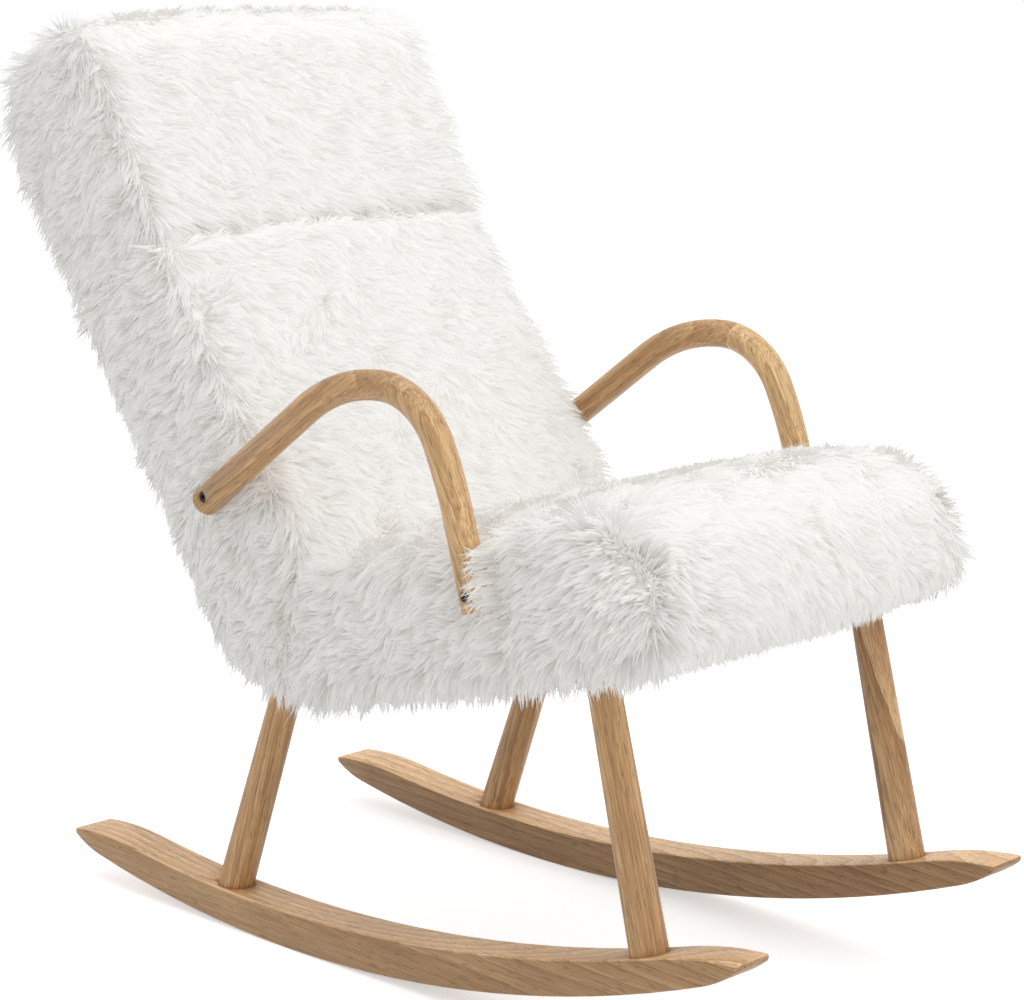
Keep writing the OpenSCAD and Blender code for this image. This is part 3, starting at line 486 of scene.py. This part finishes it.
# Back straps
# Elastic webbing 50 mm wide, stapled across the front of the uprights. It carries the back foam.
webbing, webbing_surface, add = new_finish("elastic_webbing", roughness=0.85)
place = add("TexCoord").outputs["Object"]
back_turn = back_way.rotation_difference(Vector((0, 1, 0))).to_euler()
strap_place = add("Mapping", None, Vector=place, Rotation=back_turn).outputs["Vector"]
warp, weft = (
    add(
        "TexWave",
        {"bands_direction": way},
        Vector=strap_place,
        Scale=scale,
        Distortion=0.4,
        Detail=1.0,
    ).outputs["Fac"]
    for way, scale in (("Y", 190.0), ("X", 150.0))
)
weave = add("Math", {"operation": "MULTIPLY"}, i0=warp, i1=weft).outputs[0]
fuzz = noise(add, place, scale=500.0, detail=3.0)
yarn = tone_steps(add, weave, (0.05, (0.045, 0.04, 0.034)), (0.6, (0.115, 0.10, 0.083)))
yarn = toned(add, yarn, fuzz, (0.3, 0.8), (0.7, 1.1))
finished(webbing, webbing_surface, add, yarn, weave, strength=0.7, depth=0.0004)
straps = merged_copy("back_straps")
rounded(straps, corners(straps, least=30), width=0.0006, steps=2)
piece("back_webbing", straps, webbing, "elastic_webbing", "back_straps")

# Back board
# A thin brown hardboard panel pinned behind the uprights, under the rear cover.
hardboard, hardboard_surface, add = new_finish("back_hardboard", roughness=0.5)
place = add("TexCoord").outputs["Object"]
fleck = noise(add, place, scale=650.0, detail=5.0, Roughness=0.7)
cloud = noise(add, place, scale=9.0, detail=2.0)
board_tone = tone_steps(add, fleck, (0.3, (0.10, 0.052, 0.024)), (0.7, (0.20, 0.112, 0.055)))
board_tone = toned(add, board_tone, cloud, (0.3, 0.9), (0.7, 1.05))
finished(hardboard, hardboard_surface, add, board_tone, fleck, strength=0.3, depth=0.0002)
nodes["back_panel"].material_slots[0].material = hardboard

# Foam blocks
# Blocks of open-cell foam for the seat, back and headrest, cut with a saw and glued to the frame.
# The sewn cover pulls their edges round.
foam, foam_surface, add = new_finish("cut_foam", roughness=0.9)
place = add("TexCoord").outputs["Object"]
cells = add("TexVoronoi", None, Vector=place, Scale=850.0).outputs["Distance"]
mottle = noise(add, place, scale=26.0, detail=4.0)
foam_tone = tone_steps(add, cells, (0.1, (0.52, 0.42, 0.20)), (0.55, (0.74, 0.63, 0.36)))
foam_tone = toned(add, foam_tone, mottle, (0.3, (0.93, 0.92, 0.90)), (0.7, 1.03))
finished(foam, foam_surface, add, foam_tone, cells, strength=0.6, depth=0.0006)
for part in ("seat", "back", "headrest"):
    block = merged_copy(part + "_foam")
    rounded(block, corners(block, least=35), width=0.004, steps=2)
    piece(part + "_foam_block", block, foam, "foam", part + "_foam")

# Dust cover
# Thin black non-woven cloth, stapled under the seat rails all round. It closes the seat from below
# and sags a little between the rails.
cover_wide, cover_long, cover_sag, cover_thick = 0.368, 0.388, 0.003, 0.0005
seat_corner = Vector((0, -0.017, 0.283))
rear_edge, cloth_height = 0.057, 0.0172
cloth = bmesh.new()
bmesh.ops.create_grid(cloth, x_segments=24, y_segments=26, size=0.5)
for v in cloth.verts:
    across, ahead = v.co.x * 2, v.co.y * 2
    slack = (1 - across**2) * (1 - ahead**2)
    near_rail = min(1, (1 - abs(across)) * 4) * min(1, (1 - abs(ahead)) * 4)
    spot = seat_corner + seat_way * (rear_edge + cover_long * (v.co.y + 0.5))
    spot += seat_up * (cloth_height - cover_sag * slack * near_rail)
    v.co = (v.co.x * cover_wide, spot.y, spot.z)
bmesh.ops.solidify(cloth, geom=cloth.faces[:], thickness=cover_thick)
bmesh.ops.recalc_face_normals(cloth, faces=cloth.faces)
cover_cloth, cover_surface, add = new_finish("dust_cloth", roughness=0.9)
place = add("TexCoord").outputs["Object"]
bonds = add("TexVoronoi", {"feature": "SMOOTH_F1"}, Vector=place, Scale=420.0, Randomness=0.25)
bonds = bonds.outputs["Distance"]
fibres = noise(add, place, scale=900.0, detail=4.0)
cover_tone = tone_steps(add, bonds, (0.15, (0.006, 0.006, 0.007)), (0.4, (0.014, 0.014, 0.015)))
cover_tone = toned(add, cover_tone, fibres, (0.3, 0.7), (0.7, 1.25))
finished(cover_cloth, cover_surface, add, cover_tone, bonds, strength=0.5, depth=0.0003)
under = piece("dust_cover_cloth", cloth, cover_cloth, "dust_cloth", "dust_cover")

# Arms
# Each arm is a round bar sawn from two boards that are glued near the top of the arch. A sunk
# screw holds its rear end to the back's side and another its front end to the seat's side.
bar_tones = {
    "front": {"pale": (0.79, 0.54, 0.28), "tan": (0.63, 0.39, 0.18), "rough": (0.24, 0.42)},
    # Painted light: the left arm's front board, the far one, is given paler tones than the right
    # arm's front board.
    "far_front_painted_light": {"pale": (0.88, 0.63, 0.34), "tan": (0.75, 0.50, 0.24), "rough": (0.24, 0.42)},
    "rear": {"pale": (0.70, 0.45, 0.22), "tan": (0.51, 0.295, 0.125), "rough": (0.26, 0.45)},
}
for side in ("left", "right"):
    for end, heart in (("front", (0.02, 0.03)), ("rear", (-0.03, 0.02))):
        node = f"{side}_arm_{end}"
        bar = merged_copy(node)
        axis = long_axis(bar)
        tones = bar_tones["far_front_painted_light" if node == "left_arm_front" else end]
        wood = timber(node + "_wood", node, axis, heart=heart, tilt=3.0, **tones)
        piece(node + "_bar", bar, wood, "oiled_wood", node)

# Cushion skins
# The cover is sewn as three padded parts. Each starts a little inside its solid and is blown up
# as cloth, so that it swells between its seams, and the pile then stands on it.


def search_tree(names):
    """A tree that finds the nearest or the first struck face of some CAD nodes."""
    points, faces = [], []
    for name in names:
        start = len(points)
        points += [v.co.copy() for v in nodes[name].data.vertices]
        faces += [[start + i for i in p.vertices] for p in nodes[name].data.polygons]
    return BVHTree.FromPolygons(points, faces)


solids = search_tree(nodes)
ray_count, ray_reach, ray_start = 22, 0.35, 0.002
golden = math.pi * (3 - math.sqrt(5))
ray_dirs = []
for i in range(ray_count):
    up = 0.08 + 0.9 * (i + 0.5) / ray_count
    out = math.sqrt(1 - up * up)
    ray_dirs.append(Vector((out * math.cos(i * golden), out * math.sin(i * golden), up)))


def open_share(point, normal):
    """How much of the room round a point of the cover is free, from 0 inside the chair to 1."""
    turn = Vector((0, 0, 1)).rotation_difference(normal)
    start = point + normal * ray_start
    free = 0
    for ray in ray_dirs:
        hit = solids.ray_cast(start, turn @ ray, ray_reach)[0]
        free += hit is None
    return free / ray_count


def smooth_step(x, low, high):
    """0 up to low, 1 from high on, and a soft rise between them."""
    t = np.clip((x - low) / (high - low), 0, 1)
    return t * t * (3 - 2 * t)


def read_points(data):
    """The places and normals of a mesh's points."""
    points = np.empty(len(data.vertices) * 3, np.float32)
    data.vertices.foreach_get("co", points)
    normals = np.empty(len(data.vertices) * 3, np.float32)
    data.vertices.foreach_get("normal", normals)
    return points.reshape(-1, 3).astype(float), normals.reshape(-1, 3).astype(float)


backing, backing_surface, add = new_finish("pile_backing", roughness=0.95)
place = add("TexCoord").outputs["Object"]
wool = noise(add, place, scale=420.0, detail=5.0, Roughness=0.7)
backing_tone = tone_steps(add, wool, (0.3, (0.70, 0.66, 0.62)), (0.7, (0.86, 0.84, 0.81)))
finished(backing, backing_surface, add, backing_tone, wool, strength=0.6, depth=0.002)

# The skin's mesh size, how far inside the solid it starts at its seams and where it is free, the
# least and the most that it swells, and the push that brings half of that most
voxel = 0.0075
seam_draw, free_draw = 0.0008, 0.004
least_swell, most_swell, half_push = 0.004, 0.003, 0.01
last_frame = 20
cushions = {}
for node in ("seat_cushion", "back_cushion", "headrest_cushion"):
    rough = merged_copy(node)
    rough_data = bpy.data.meshes.new(node + "_start")
    rough.to_mesh(rough_data)
    rough.free()
    form = bpy.data.objects.new(node + "_cover", rough_data)
    scene.collection.objects.link(form)
    remesh = form.modifiers.new("remesh", "REMESH")
    remesh.mode = "VOXEL"
    remesh.voxel_size = voxel
    depsgraph = bpy.context.evaluated_depsgraph_get()
    even = bpy.data.meshes.new_from_object(form.evaluated_get(depsgraph))
    form.modifiers.clear()
    form.data = even
    points, normals = read_points(even)
    shares = np.array([open_share(Vector(p), Vector(n)) for p, n in zip(points, normals)])
    freedom = smooth_step(shares, 0.02, 0.35)
    start = points - normals * (seam_draw + free_draw * freedom)[:, None]
    even.vertices.foreach_set("co", start.astype(np.float32).ravel())
    even.update()
    cushions[node] = {
        "form": form,
        "start": start,
        "out": normals,
        "shares": shares,
        "freedom": freedom,
        "least": least_swell * freedom,
    }

for cushion in cushions.values():
    form = cushion["form"]
    held = form.vertex_groups.new(name="held")
    for index, share in enumerate(cushion["freedom"]):
        held.add([index], 1 - share, "REPLACE")
    cloth = form.modifiers.new("cloth", "CLOTH")
    cloth.settings.quality = 4
    cloth.settings.mass = 0.3
    cloth.settings.use_pressure = True
    cloth.settings.uniform_pressure_force = 2
    cloth.settings.effector_weights.gravity = 0
    cloth.settings.vertex_group_mass = "held"
    cloth.point_cache.frame_start = 1
    cloth.point_cache.frame_end = last_frame
for step in range(1, last_frame + 1):
    scene.frame_set(step)
depsgraph = bpy.context.evaluated_depsgraph_get()
for cushion in cushions.values():
    blown = bpy.data.meshes.new_from_object(cushion["form"].evaluated_get(depsgraph))
    moved = read_points(blown)[0] - cushion["start"]
    outward = np.clip((moved * cushion["out"]).sum(1), 0, None)
    swell = cushion["least"] + most_swell * outward / (outward + half_push)
    cushion["swollen"] = cushion["start"] + cushion["out"] * swell[:, None]
    cushion["form"].modifiers.clear()
    cushion["form"].vertex_groups.clear()
    bpy.data.meshes.remove(blown)
scene.frame_set(1)

for node, cushion in cushions.items():
    form = cushion["form"]
    form.data.vertices.foreach_set("co", cushion["swollen"].astype(np.float32).ravel())
    form.data.polygons.foreach_set("use_smooth", [True] * len(form.data.polygons))
    form.data.update()
    form.data.materials.clear()
    form.data.materials.append(backing)
    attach(form, "root")
    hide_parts(node)

# Pile
# The cover is a knitted cloth with pile about 25 mm long. The fibres cling together in pointed
# locks that lean downwards, part at the corners and hang free along the bottom edge.
pile, pile_surface, add = new_finish("long_pile", roughness=0.85)
pile_surface.inputs["Sheen Weight"].default_value = 0.2
pile_surface.inputs["Sheen Roughness"].default_value = 0.5
pile_surface.inputs["Specular IOR Level"].default_value = 0.2
along = add("Attribute", {"attribute_name": "along"}).outputs["Fac"]
tone_and_shade = add("Attribute", {"attribute_name": "own_tone"}).outputs["Fac"]
# Painted shade: the roots are much darker than the tips, for the shade between the locks, which
# cast no shadows on each other.
shaded_root_to_tip = (
    (0.0, (0.52, 0.52, 0.49)),
    (0.35, (0.80, 0.79, 0.765)),
    (0.65, (0.925, 0.923, 0.908)),
    (1.0, (0.97, 0.97, 0.96)),
)
# The lock tone holds each lock's random tone and the painted shade of the groove, folds and seams.
# Its lowest, pinkish step is reached only by that painted shade.
dark_to_pale_lock = (
    (0.0, (0.70, 0.635, 0.59)),
    (0.13, (0.78, 0.765, 0.735)),
    (0.6, (0.93, 0.928, 0.918)),
    (1.0, 1.0),
)
body = toned(add, tone_steps(add, along, *shaded_root_to_tip), tone_and_shade, *dark_to_pale_lock)
strand_place = add("UVMap", {"uv_map": "lock"}).outputs["UV"]
strands = noise(add, stretched(add, strand_place, 9, 0.8, 1), scale=1.0, detail=2.0)
body = toned(add, body, strands, (0.3, 0.93), (0.6, 1.0))
pile.node_tree.links.new(body, pile_surface.inputs["Base Color"])

# The light falls on a lock partly as on the skin below it, which softens the spikes' faces
own_face = add("NewGeometry").outputs["Normal"]
stand = add("Attribute", {"attribute_name": "stand"}).outputs["Vector"]
likeness = add("VectorMath", {"operation": "DOT_PRODUCT"}, i0=own_face, i1=stand).outputs["Value"]
softness = add("MapRange", None, Value=likeness, From_Min=0.35, From_Max=0.9, To_Max=0.6)
softness = softness.outputs["Result"]
soft_face = add("Mix", {"data_type": "VECTOR"}, i0=softness, i4=own_face, i5=stand).outputs[1]
soft_face = add("VectorMath", {"operation": "NORMALIZE"}, i0=soft_face).outputs[0]
strand_bump = add("Bump", None, Strength=0.25, Distance=0.0006, Height=strands, Normal=soft_face)
pile.node_tree.links.new(strand_bump.outputs["Normal"], pile_surface.inputs["Normal"])

rng = np.random.default_rng(27)
locks_per_square_metre = 112000
most_locks_in_piece = 19500
pile_length, lock_width, root_depth = 0.0245, 0.0017, 0.0006

# One lock: a slim three-sided spike with a bend a little below its middle
bend_height = 0.45
spike = bmesh.new()
bmesh.ops.create_cone(
    spike,
    cap_ends=True,
    cap_tris=False,
    segments=3,
    radius1=1,
    radius2=0,
    depth=1,
    matrix=Matrix.Translation((0, 0, 0.5)),
)
bmesh.ops.remove_doubles(spike, verts=spike.verts, dist=1e-5)
bmesh.ops.bisect_plane(
    spike,
    geom=spike.verts[:] + spike.edges[:] + spike.faces[:],
    plane_co=(0, 0, bend_height),
    plane_no=(0, 0, 1),
)
bmesh.ops.recalc_face_normals(spike, faces=spike.faces)
spike.verts.index_update()
spike_points = np.array([v.co for v in spike.verts])
spike_faces = [[v.index for v in f.verts] for f in spike.faces]
spike.free()
level = spike_points[:, 2]
ring_x, ring_y = spike_points[:, 0].copy(), spike_points[:, 1].copy()
reach = np.hypot(ring_x, ring_y)
ring_x[reach > 0] /= reach[reach > 0]
ring_y[reach > 0] /= reach[reach > 0]
ridge_up = math.pi / 2 - math.atan2(ring_y[np.argmin(level)], ring_x[np.argmin(level)])
spike_sizes = np.array([len(f) for f in spike_faces])
spike_loops = np.concatenate([np.array(f) for f in spike_faces])
loop_angle = (np.arctan2(ring_y, ring_x) / (2 * math.pi)) % 1.0
spike_uv = np.stack([loop_angle[spike_loops], level[spike_loops]], axis=1)


def unit_rows(v):
    """Rows of numbers, each scaled to length 1."""
    return v / np.maximum(np.linalg.norm(v, axis=1, keepdims=True), 1e-12)


def drift(points, period, seed):
    """Smooth random directions that change over about one period."""
    waves = np.random.default_rng(seed)
    wave_count = 10
    total = np.zeros_like(points)
    for _ in range(wave_count):
        turn = waves.normal(size=3) * 2 * math.pi / period
        height = np.sin(points @ turn + waves.uniform(0, 2 * math.pi))
        total += height[:, None] * waves.normal(size=3)
    return total / math.sqrt(wave_count / 2)


def lock_roots(cushion):
    """Evenly spread places on a cushion's open skin, with the skin's normal and openness there."""
    data = cushion["form"].data
    data.calc_loop_triangles()
    triangles = np.empty(len(data.loop_triangles) * 3, np.int32)
    data.loop_triangles.foreach_get("vertices", triangles)
    triangles = triangles.reshape(-1, 3)
    points, normals = read_points(data)
    a, b, c = (points[triangles[:, i]] for i in range(3))
    areas = np.linalg.norm(np.cross(b - a, c - a), axis=1) / 2
    shares = cushion["shares"][triangles].mean(1)
    weights = areas * smooth_step(shares, 0.005, 0.08)
    total = np.cumsum(weights)
    count = int(total[-1] * locks_per_square_metre)
    spread = (np.arange(count) + rng.uniform(0, 1, count)) / count * total[-1]
    picks = np.minimum(np.searchsorted(total, spread), len(triangles) - 1)
    even_step_u, even_step_v = 0.7548776662, 0.5698402910
    u = (np.arange(count) * even_step_u + 0.5) % 1
    v = (np.arange(count) * even_step_v + 0.5) % 1
    over = u + v > 1
    u[over], v[over] = 1 - u[over], 1 - v[over]
    w = np.stack([1 - u - v, u, v], axis=1)
    corner = triangles[picks]
    roots = (points[corner] * w[:, :, None]).sum(1)
    facing = unit_rows((normals[corner] * w[:, :, None]).sum(1))
    return roots, facing, (cushion["shares"][corner] * w).sum(1)


wood_tree = search_tree(n for n in nodes if n.endswith(("_leg", "_rocker")) or "_arm_" in n)


def kept_off_wood(points, room):
    """Moves the points that lie in or near a leg or arm to just outside it."""
    arms_from, legs_below, search_reach = 0.222, 0.43, 0.02
    near = np.nonzero((np.abs(points[:, 0]) > arms_from) | (points[:, 2] < legs_below))[0]
    for i in near:
        at = Vector(points[i])
        place, normal, _, far = wood_tree.find_nearest(at, search_reach)
        if place is None:
            continue
        if (at - place).dot(normal) < 0:
            far = -far
        if far < room:
            points[i] = place + normal * room


def burst(points, centre, radius):
    """Directions away from a centre, weaker with distance."""
    away = points - np.array(centre)
    far = np.linalg.norm(away, axis=1)
    return unit_rows(away) * (np.clip(1 - far / radius, 0, 1) ** 0.7)[:, None]


def laid_over_bar(roots, side, beside, bends, tips):
    """Lays some of the pile in front of each arm's lower end back over the bar."""
    bar_foot_y, bar_foot_z, bar_slope = -0.307, 0.41, 0.29
    bar_outside, lap_height = 0.2705, 0.453
    bar_y = bar_foot_y + bar_slope * (roots[:, 2] - bar_foot_z)
    before = bar_y - roots[:, 1]
    odds = 0.8 * (beside > 0.8) * smooth_step(before, 0.012, 0.018)
    odds *= 1 - smooth_step(before, 0.02, 0.05)
    odds *= 1 - smooth_step(np.abs(roots[:, 2] - lap_height), 0.03, 0.052)
    lap = np.nonzero(rng.uniform(0, 1, len(roots)) < odds)[0]
    back = -0.02 + 0.15 * (0.50 - roots[lap, 2]) + rng.normal(0, 0.006, len(lap))
    lift = rng.uniform(0.02, 0.029, len(lap))
    sway = drift(roots[lap], 0.02, seed=9)[:, 0]
    sink = 0.011 + 0.011 * sway + rng.normal(0, 0.004, len(lap))
    over_bar = np.stack([side[lap] * lift, before[lap] - 0.018, -0.2 * sink], axis=1)
    bends[lap] = roots[lap] + over_bar
    tips[lap, 0] = side[lap] * (bar_outside + rng.uniform(0, 0.004, len(lap)))
    tips[lap, 1] = bar_y[lap] + back
    tips[lap, 2] = roots[lap, 2] - sink


def clung_together(roots, bends, tips):
    """Pulls neighbouring locks into tufts and tufts together. Some locks stay loose."""
    count = len(roots)
    loose_share, loose_cling, most_pull = 0.3, 0.3, 0.012
    in_tuft, in_clump = 5, 60
    loose = rng.uniform(0, 1, count) < loose_share
    for locks, least, most in ((in_tuft, 0.5, 0.85), (in_clump, 0.1, 0.3)):
        heads = rng.choice(count, count // locks, replace=False)
        lookup = KDTree(len(heads))
        for i, h in enumerate(heads):
            lookup.insert(roots[h], i)
        lookup.balance()
        joined = np.array([heads[lookup.find(r)[1]] for r in roots])
        if locks == in_tuft:
            tuft_head = joined
        cling = (rng.uniform(least, most, count) * np.where(loose, loose_cling, 1))[:, None]
        pull = tips[joined] - tips
        pull_length = np.linalg.norm(pull, axis=1, keepdims=True)
        pull *= np.minimum(1, most_pull / np.maximum(pull_length, 1e-9))
        tips += pull * cling
        bends += pull * cling * 0.4
    return loose, tuft_head


def lock_shapes(roots, facing, bends, tips, loose):
    """The points of every lock: the spike's shape round the lock's own bent line."""
    count = len(roots)
    loose_width, flatness, bend_width = 0.7, 0.15, 0.9
    width = lock_width * rng.uniform(0.6, 1.25, count) * np.where(loose, loose_width, 1)
    spin = ridge_up + rng.normal(0, 0.12, count)
    cos, sin = np.cos(spin), np.sin(spin)
    line = unit_rows(tips - roots)
    across = unit_rows(np.cross(line, facing) + 1e-6)
    over = np.cross(across, line)
    verts = np.empty((count, len(level), 3), np.float32)
    for j, (height, rx, ry) in enumerate(zip(level, ring_x, ring_y)):
        at_root, at_tip = height < 0.1, height > 0.9
        centre = roots - facing * root_depth if at_root else tips if at_tip else bends
        thick = (width * (1.0 if at_root else bend_width))[:, None]
        wide = (rx * cos - ry * sin)[:, None] * across
        tall = flatness * (rx * sin + ry * cos)[:, None] * over
        verts[:, j] = centre + thick * (wide + tall)
    return verts


def panel_names(part, facing, side):
    """The panel of the cut and sewn cover on which each lock stands."""
    panel = np.empty(len(facing), object)
    if part == "seat":
        panel[:] = "under"
        panel[facing[:, 2] > 0.45] = "top"
        panel[(facing[:, 2] <= 0.45) & (-facing[:, 1] > 0.3)] = "front"
    else:
        panel[:] = "rear"
        panel[facing[:, 1] < 0.25] = "front"
        if part == "headrest":
            panel[(facing[:, 2] > 0.8) & (facing[:, 1] > -0.2)] = "top"
    sideways = np.abs(facing[:, 0]) > 0.62
    panel[sideways & (side > 0)] = "left"
    panel[sideways & (side <= 0)] = "right"
    return panel


def shaded(part, roots, facing, tone):
    """Paints shade into the groove under the headrest, along two fold lines on the seat's front and
    along the side seams.
    """
    fold_width, seam_width = 0.006, 0.004
    beside = np.abs(facing[:, 0])
    if part == "headrest":
        low = (1 - smooth_step(roots[:, 2], 0.727, 0.757)) * (np.abs(roots[:, 0]) < 0.2)
        groove_shade = np.clip(0.35 + 0.2 * drift(roots, 0.1, seed=8)[:, 0], 0, 0.7)
        tone = tone - low * (facing[:, 1] < -0.3) * groove_shade
    elif part == "seat":
        # Painted shade: two narrow dark lines on the seat's front stand for the shadows of folds.
        tall = smooth_step(roots[:, 2], 0.43, 0.45) * (1 - smooth_step(roots[:, 2], 0.50, 0.52))
        middle_fold, side_fold = -0.013 + 0.41 * (0.506 - roots[:, 2]), -0.2165
        for fold_x, shade in ((middle_fold, 0.5), (side_fold, 0.35)):
            away = (roots[:, 0] - fold_x) / fold_width
            tone = tone - shade * tall * (facing[:, 1] < -0.3) * np.exp(-(away**2))
    if part != "headrest":
        seam_y = -0.033 + 0.325 * (0.408 - roots[:, 2])
        away = (roots[:, 1] - seam_y) / seam_width
        tone = tone - 0.5 * (beside > 0.7) * (roots[:, 2] < 0.41) * np.exp(-(away**2))
    return np.clip(tone, 0, 1)


def pile_piece(title, verts, uv_shift, feet, tones, facing):
    """One object from the points of its locks, with what the pile's material reads from it."""
    locks = len(verts)
    steps = np.arange(locks)[:, None]
    data = bpy.data.meshes.new(title)
    data.vertices.add(locks * len(level))
    data.vertices.foreach_set("co", verts.ravel())
    corner_verts = spike_loops[None] + steps * len(level)
    data.loops.add(locks * len(spike_loops))
    data.loops.foreach_set("vertex_index", corner_verts.ravel().astype(np.int32))
    data.polygons.add(locks * len(spike_sizes))
    starts = np.concatenate([[0], np.cumsum(spike_sizes)[:-1]])
    starts = starts[None] + steps * len(spike_loops)
    data.polygons.foreach_set("loop_start", starts.ravel().astype(np.int32))
    data.update(calc_edges=True)
    data.polygons.foreach_set("use_smooth", [False] * len(data.polygons))
    uv = spike_uv[None] + uv_shift[:, None]
    data.uv_layers.new(name="lock").data.foreach_set("uv", uv.astype(np.float32).ravel())
    for key, kind, field, values in (
        ("along", "FLOAT", "value", feet[:, None] + (1 - feet[:, None]) * level[None]),
        ("own_tone", "FLOAT", "value", np.repeat(tones, len(level))),
        ("stand", "FLOAT_VECTOR", "vector", np.repeat(facing, len(level), axis=0)),
    ):
        layer = data.attributes.new(key, kind, "POINT")
        layer.data.foreach_set(field, values.ravel().astype(np.float32))
    data.materials.append(pile)
    panel_piece = bpy.data.objects.new(title, data)
    scene.collection.objects.link(panel_piece)
    panel_piece.visible_diffuse = False
    panel_piece.visible_shadow = False
    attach(panel_piece, "root")


down = np.array([0, 0, -1.0])
combing = {
    "seat": {"across": 1.15, "back": 1.1, "forward": 0.9, "fluff": 16, "longer": 0.25},
    "back": {"across": 1.0, "back": 0.7, "forward": 0, "fluff": 14, "longer": 0.2},
    "headrest": {"across": 1.5, "back": 0.7, "forward": 0.4, "fluff": 24, "longer": 0.35},
}
down_the_edge, own_will = (0.3, -0.556, -0.831), 0.18
root_angle, tip_angle = 50, 16
seat_front_corners, corner_reach = [(x, -0.46, 0.478) for x in (-0.252, 0.252)], 0.11
for node, cushion in cushions.items():
    roots, facing, shares = lock_roots(cushion)
    count = len(roots)
    part = node.split("_")[0]
    comb = combing[part]
    side = np.sign(roots[:, 0])
    ahead = np.clip(-facing[:, 1], 0, 1)
    beside = np.abs(facing[:, 0])

    # The way the locks lean: down and across, forward on the tops, apart at the seat's corners
    broad_sway, fine_sway = drift(roots, 0.16, seed=3), drift(roots, 0.05, seed=4)
    way = np.tile(down, (count, 1)) + 0.4 * broad_sway + 0.32 * fine_sway
    way[:, 0] += comb["across"] * ahead
    way[:, 1] += comb["back"] * beside
    way[:, 1] -= comb["forward"] * np.clip(facing[:, 2], 0, 1)
    turning = 4 * facing[:, 0] ** 2 * (1 - facing[:, 0] ** 2)
    if part == "seat":
        for corner in seat_front_corners:
            way += burst(roots, corner, corner_reach)
    else:
        edge_pull = 1.2 * turning * smooth_step(-facing[:, 1], 0.1, 0.4)
        way += edge_pull[:, None] * down_the_edge
    way += own_will * rng.normal(size=(count, 3))
    lean = unit_rows(way - (way * facing).sum(1, keepdims=True) * facing)

    # Length, and the angle at the root and at the tip: longer and more upright round the edges
    length = pile_length * rng.uniform(0.75, 1.2, count)
    length *= 0.45 + 0.55 * smooth_step(shares, 0.1, 0.5)
    root_sway, tip_sway = drift(roots, 0.07, seed=5)[:, 0], drift(roots, 0.045, seed=6)[:, 0]
    rise = np.radians(root_angle + 8 * root_sway + rng.normal(0, 7, count))
    if part == "headrest":
        turning *= 1 - 0.85 * smooth_step(facing[:, 2], 0.5, 0.75) * (side < 0)
    if part == "seat":
        turning *= 1 + 0.9 * (side > 0) * smooth_step(0.35 - facing[:, 2], 0, 0.3)
        turning *= 1 - smooth_step(facing[:, 2], 0.35, 0.6) * (side > 0)
    fluff = comb["fluff"] * turning
    if part != "seat":
        fluff += 8 * turning * (side > 0)
        length *= 1 + 0.3 * turning * (side > 0)
    length *= 1 + comb["longer"] * turning
    length *= 1 + 0.2 * turning * (facing[:, 1] > 0)
    rest = np.radians(tip_angle + fluff + 5 * tip_sway + rng.normal(0, 6, count))
    if part == "seat":
        to_corner = np.minimum(*(np.linalg.norm(roots - c, axis=1) for c in seat_front_corners))
        upright = 1 - smooth_step(to_corner, 0.03, 0.085)
        rise += np.radians(30) * upright
        rest += np.radians(48) * upright
        length *= 1 - 0.3 * upright

    # Along the bottom edge they hang free, longer at the sides
    hang = smooth_step(-facing[:, 2], 0.05, 0.75)[:, None]
    if part == "seat":
        length *= 1 + 0.35 * hang[:, 0] * np.clip(2 * beside, 0, 1)
        length *= 1 - 0.4 * hang[:, 0] * smooth_step(roots[:, 0], 0.08, 0.16)
    first = np.cos(rise)[:, None] * lean + np.sin(rise)[:, None] * facing
    last = np.cos(rest)[:, None] * lean + np.sin(rest)[:, None] * facing
    hanging = down + 0.25 * drift(roots, 0.03, seed=7)
    last = unit_rows(last * (1 - hang) + hanging * hang)
    first = unit_rows(first * (1 - 0.5 * hang) + down * 0.5 * hang)

    # Each lock's root, bend and tip
    bends = roots - facing * root_depth
    bends += length[:, None] * bend_height * (0.55 * first + 0.45 * last)
    tips = roots + length[:, None] * (0.12 * first + 0.88 * last)
    if part == "seat":
        laid_over_bar(roots, side, beside, bends, tips)
    loose, tuft_head = clung_together(roots, bends, tips)
    kept_off_wood(bends, room=0.002)
    kept_off_wood(tips, room=0.0015)
    verts = lock_shapes(roots, facing, bends, tips, loose)

    # The locks' tones differ at random, lock by lock and tuft by tuft. Painted shade: the
    # differences and the dark roots are made stronger on the sides, round the edges and at the
    # seat's front corners. Painted light: the even tops are paler, with paler roots.
    own_tone = 0.5 * rng.uniform(0, 1, count) + 0.5 * rng.uniform(0, 1, count)[tuft_head]
    depth = np.maximum(beside, 0.6 * turning)
    if part == "seat":
        depth = np.maximum(depth, 1 - smooth_step(to_corner, 0.06, 0.16))
    even = smooth_step(facing[:, 2], 0.55, 0.8) * (shares > 0.4)
    depth = np.clip(depth, 0, 1) * (1 - even)
    difference = (own_tone - 0.5) * (0.8 + 0.6 * depth) * (1 - 0.5 * even)
    own_tone = shaded(part, roots, facing, np.clip(0.6 + 0.12 * even + difference, 0.13, 1))
    # Painted shade at the roots: the along value starts lower where the shade is painted stronger.
    feet = 0.38 * (1 - depth) + 0.12 * even
    uv_shift = rng.uniform(0, 50, (count, 2))

    # Each panel becomes one object, or two where it has very many locks
    panel = panel_names(part, facing, side)
    for panel_name in sorted(set(panel)):
        members = np.nonzero(panel == panel_name)[0]
        objects = math.ceil(len(members) / most_locks_in_piece)
        if objects > 1:
            members = members[np.argsort(roots[members, 0], kind="stable")]
        for number, g in enumerate(np.array_split(members, objects)):
            title = f"{part}_pile_{panel_name}" + (f"_{number + 1}" if objects > 1 else "")
            pile_piece(title, verts[g], uv_shift[g], feet[g], own_tone[g], facing[g])
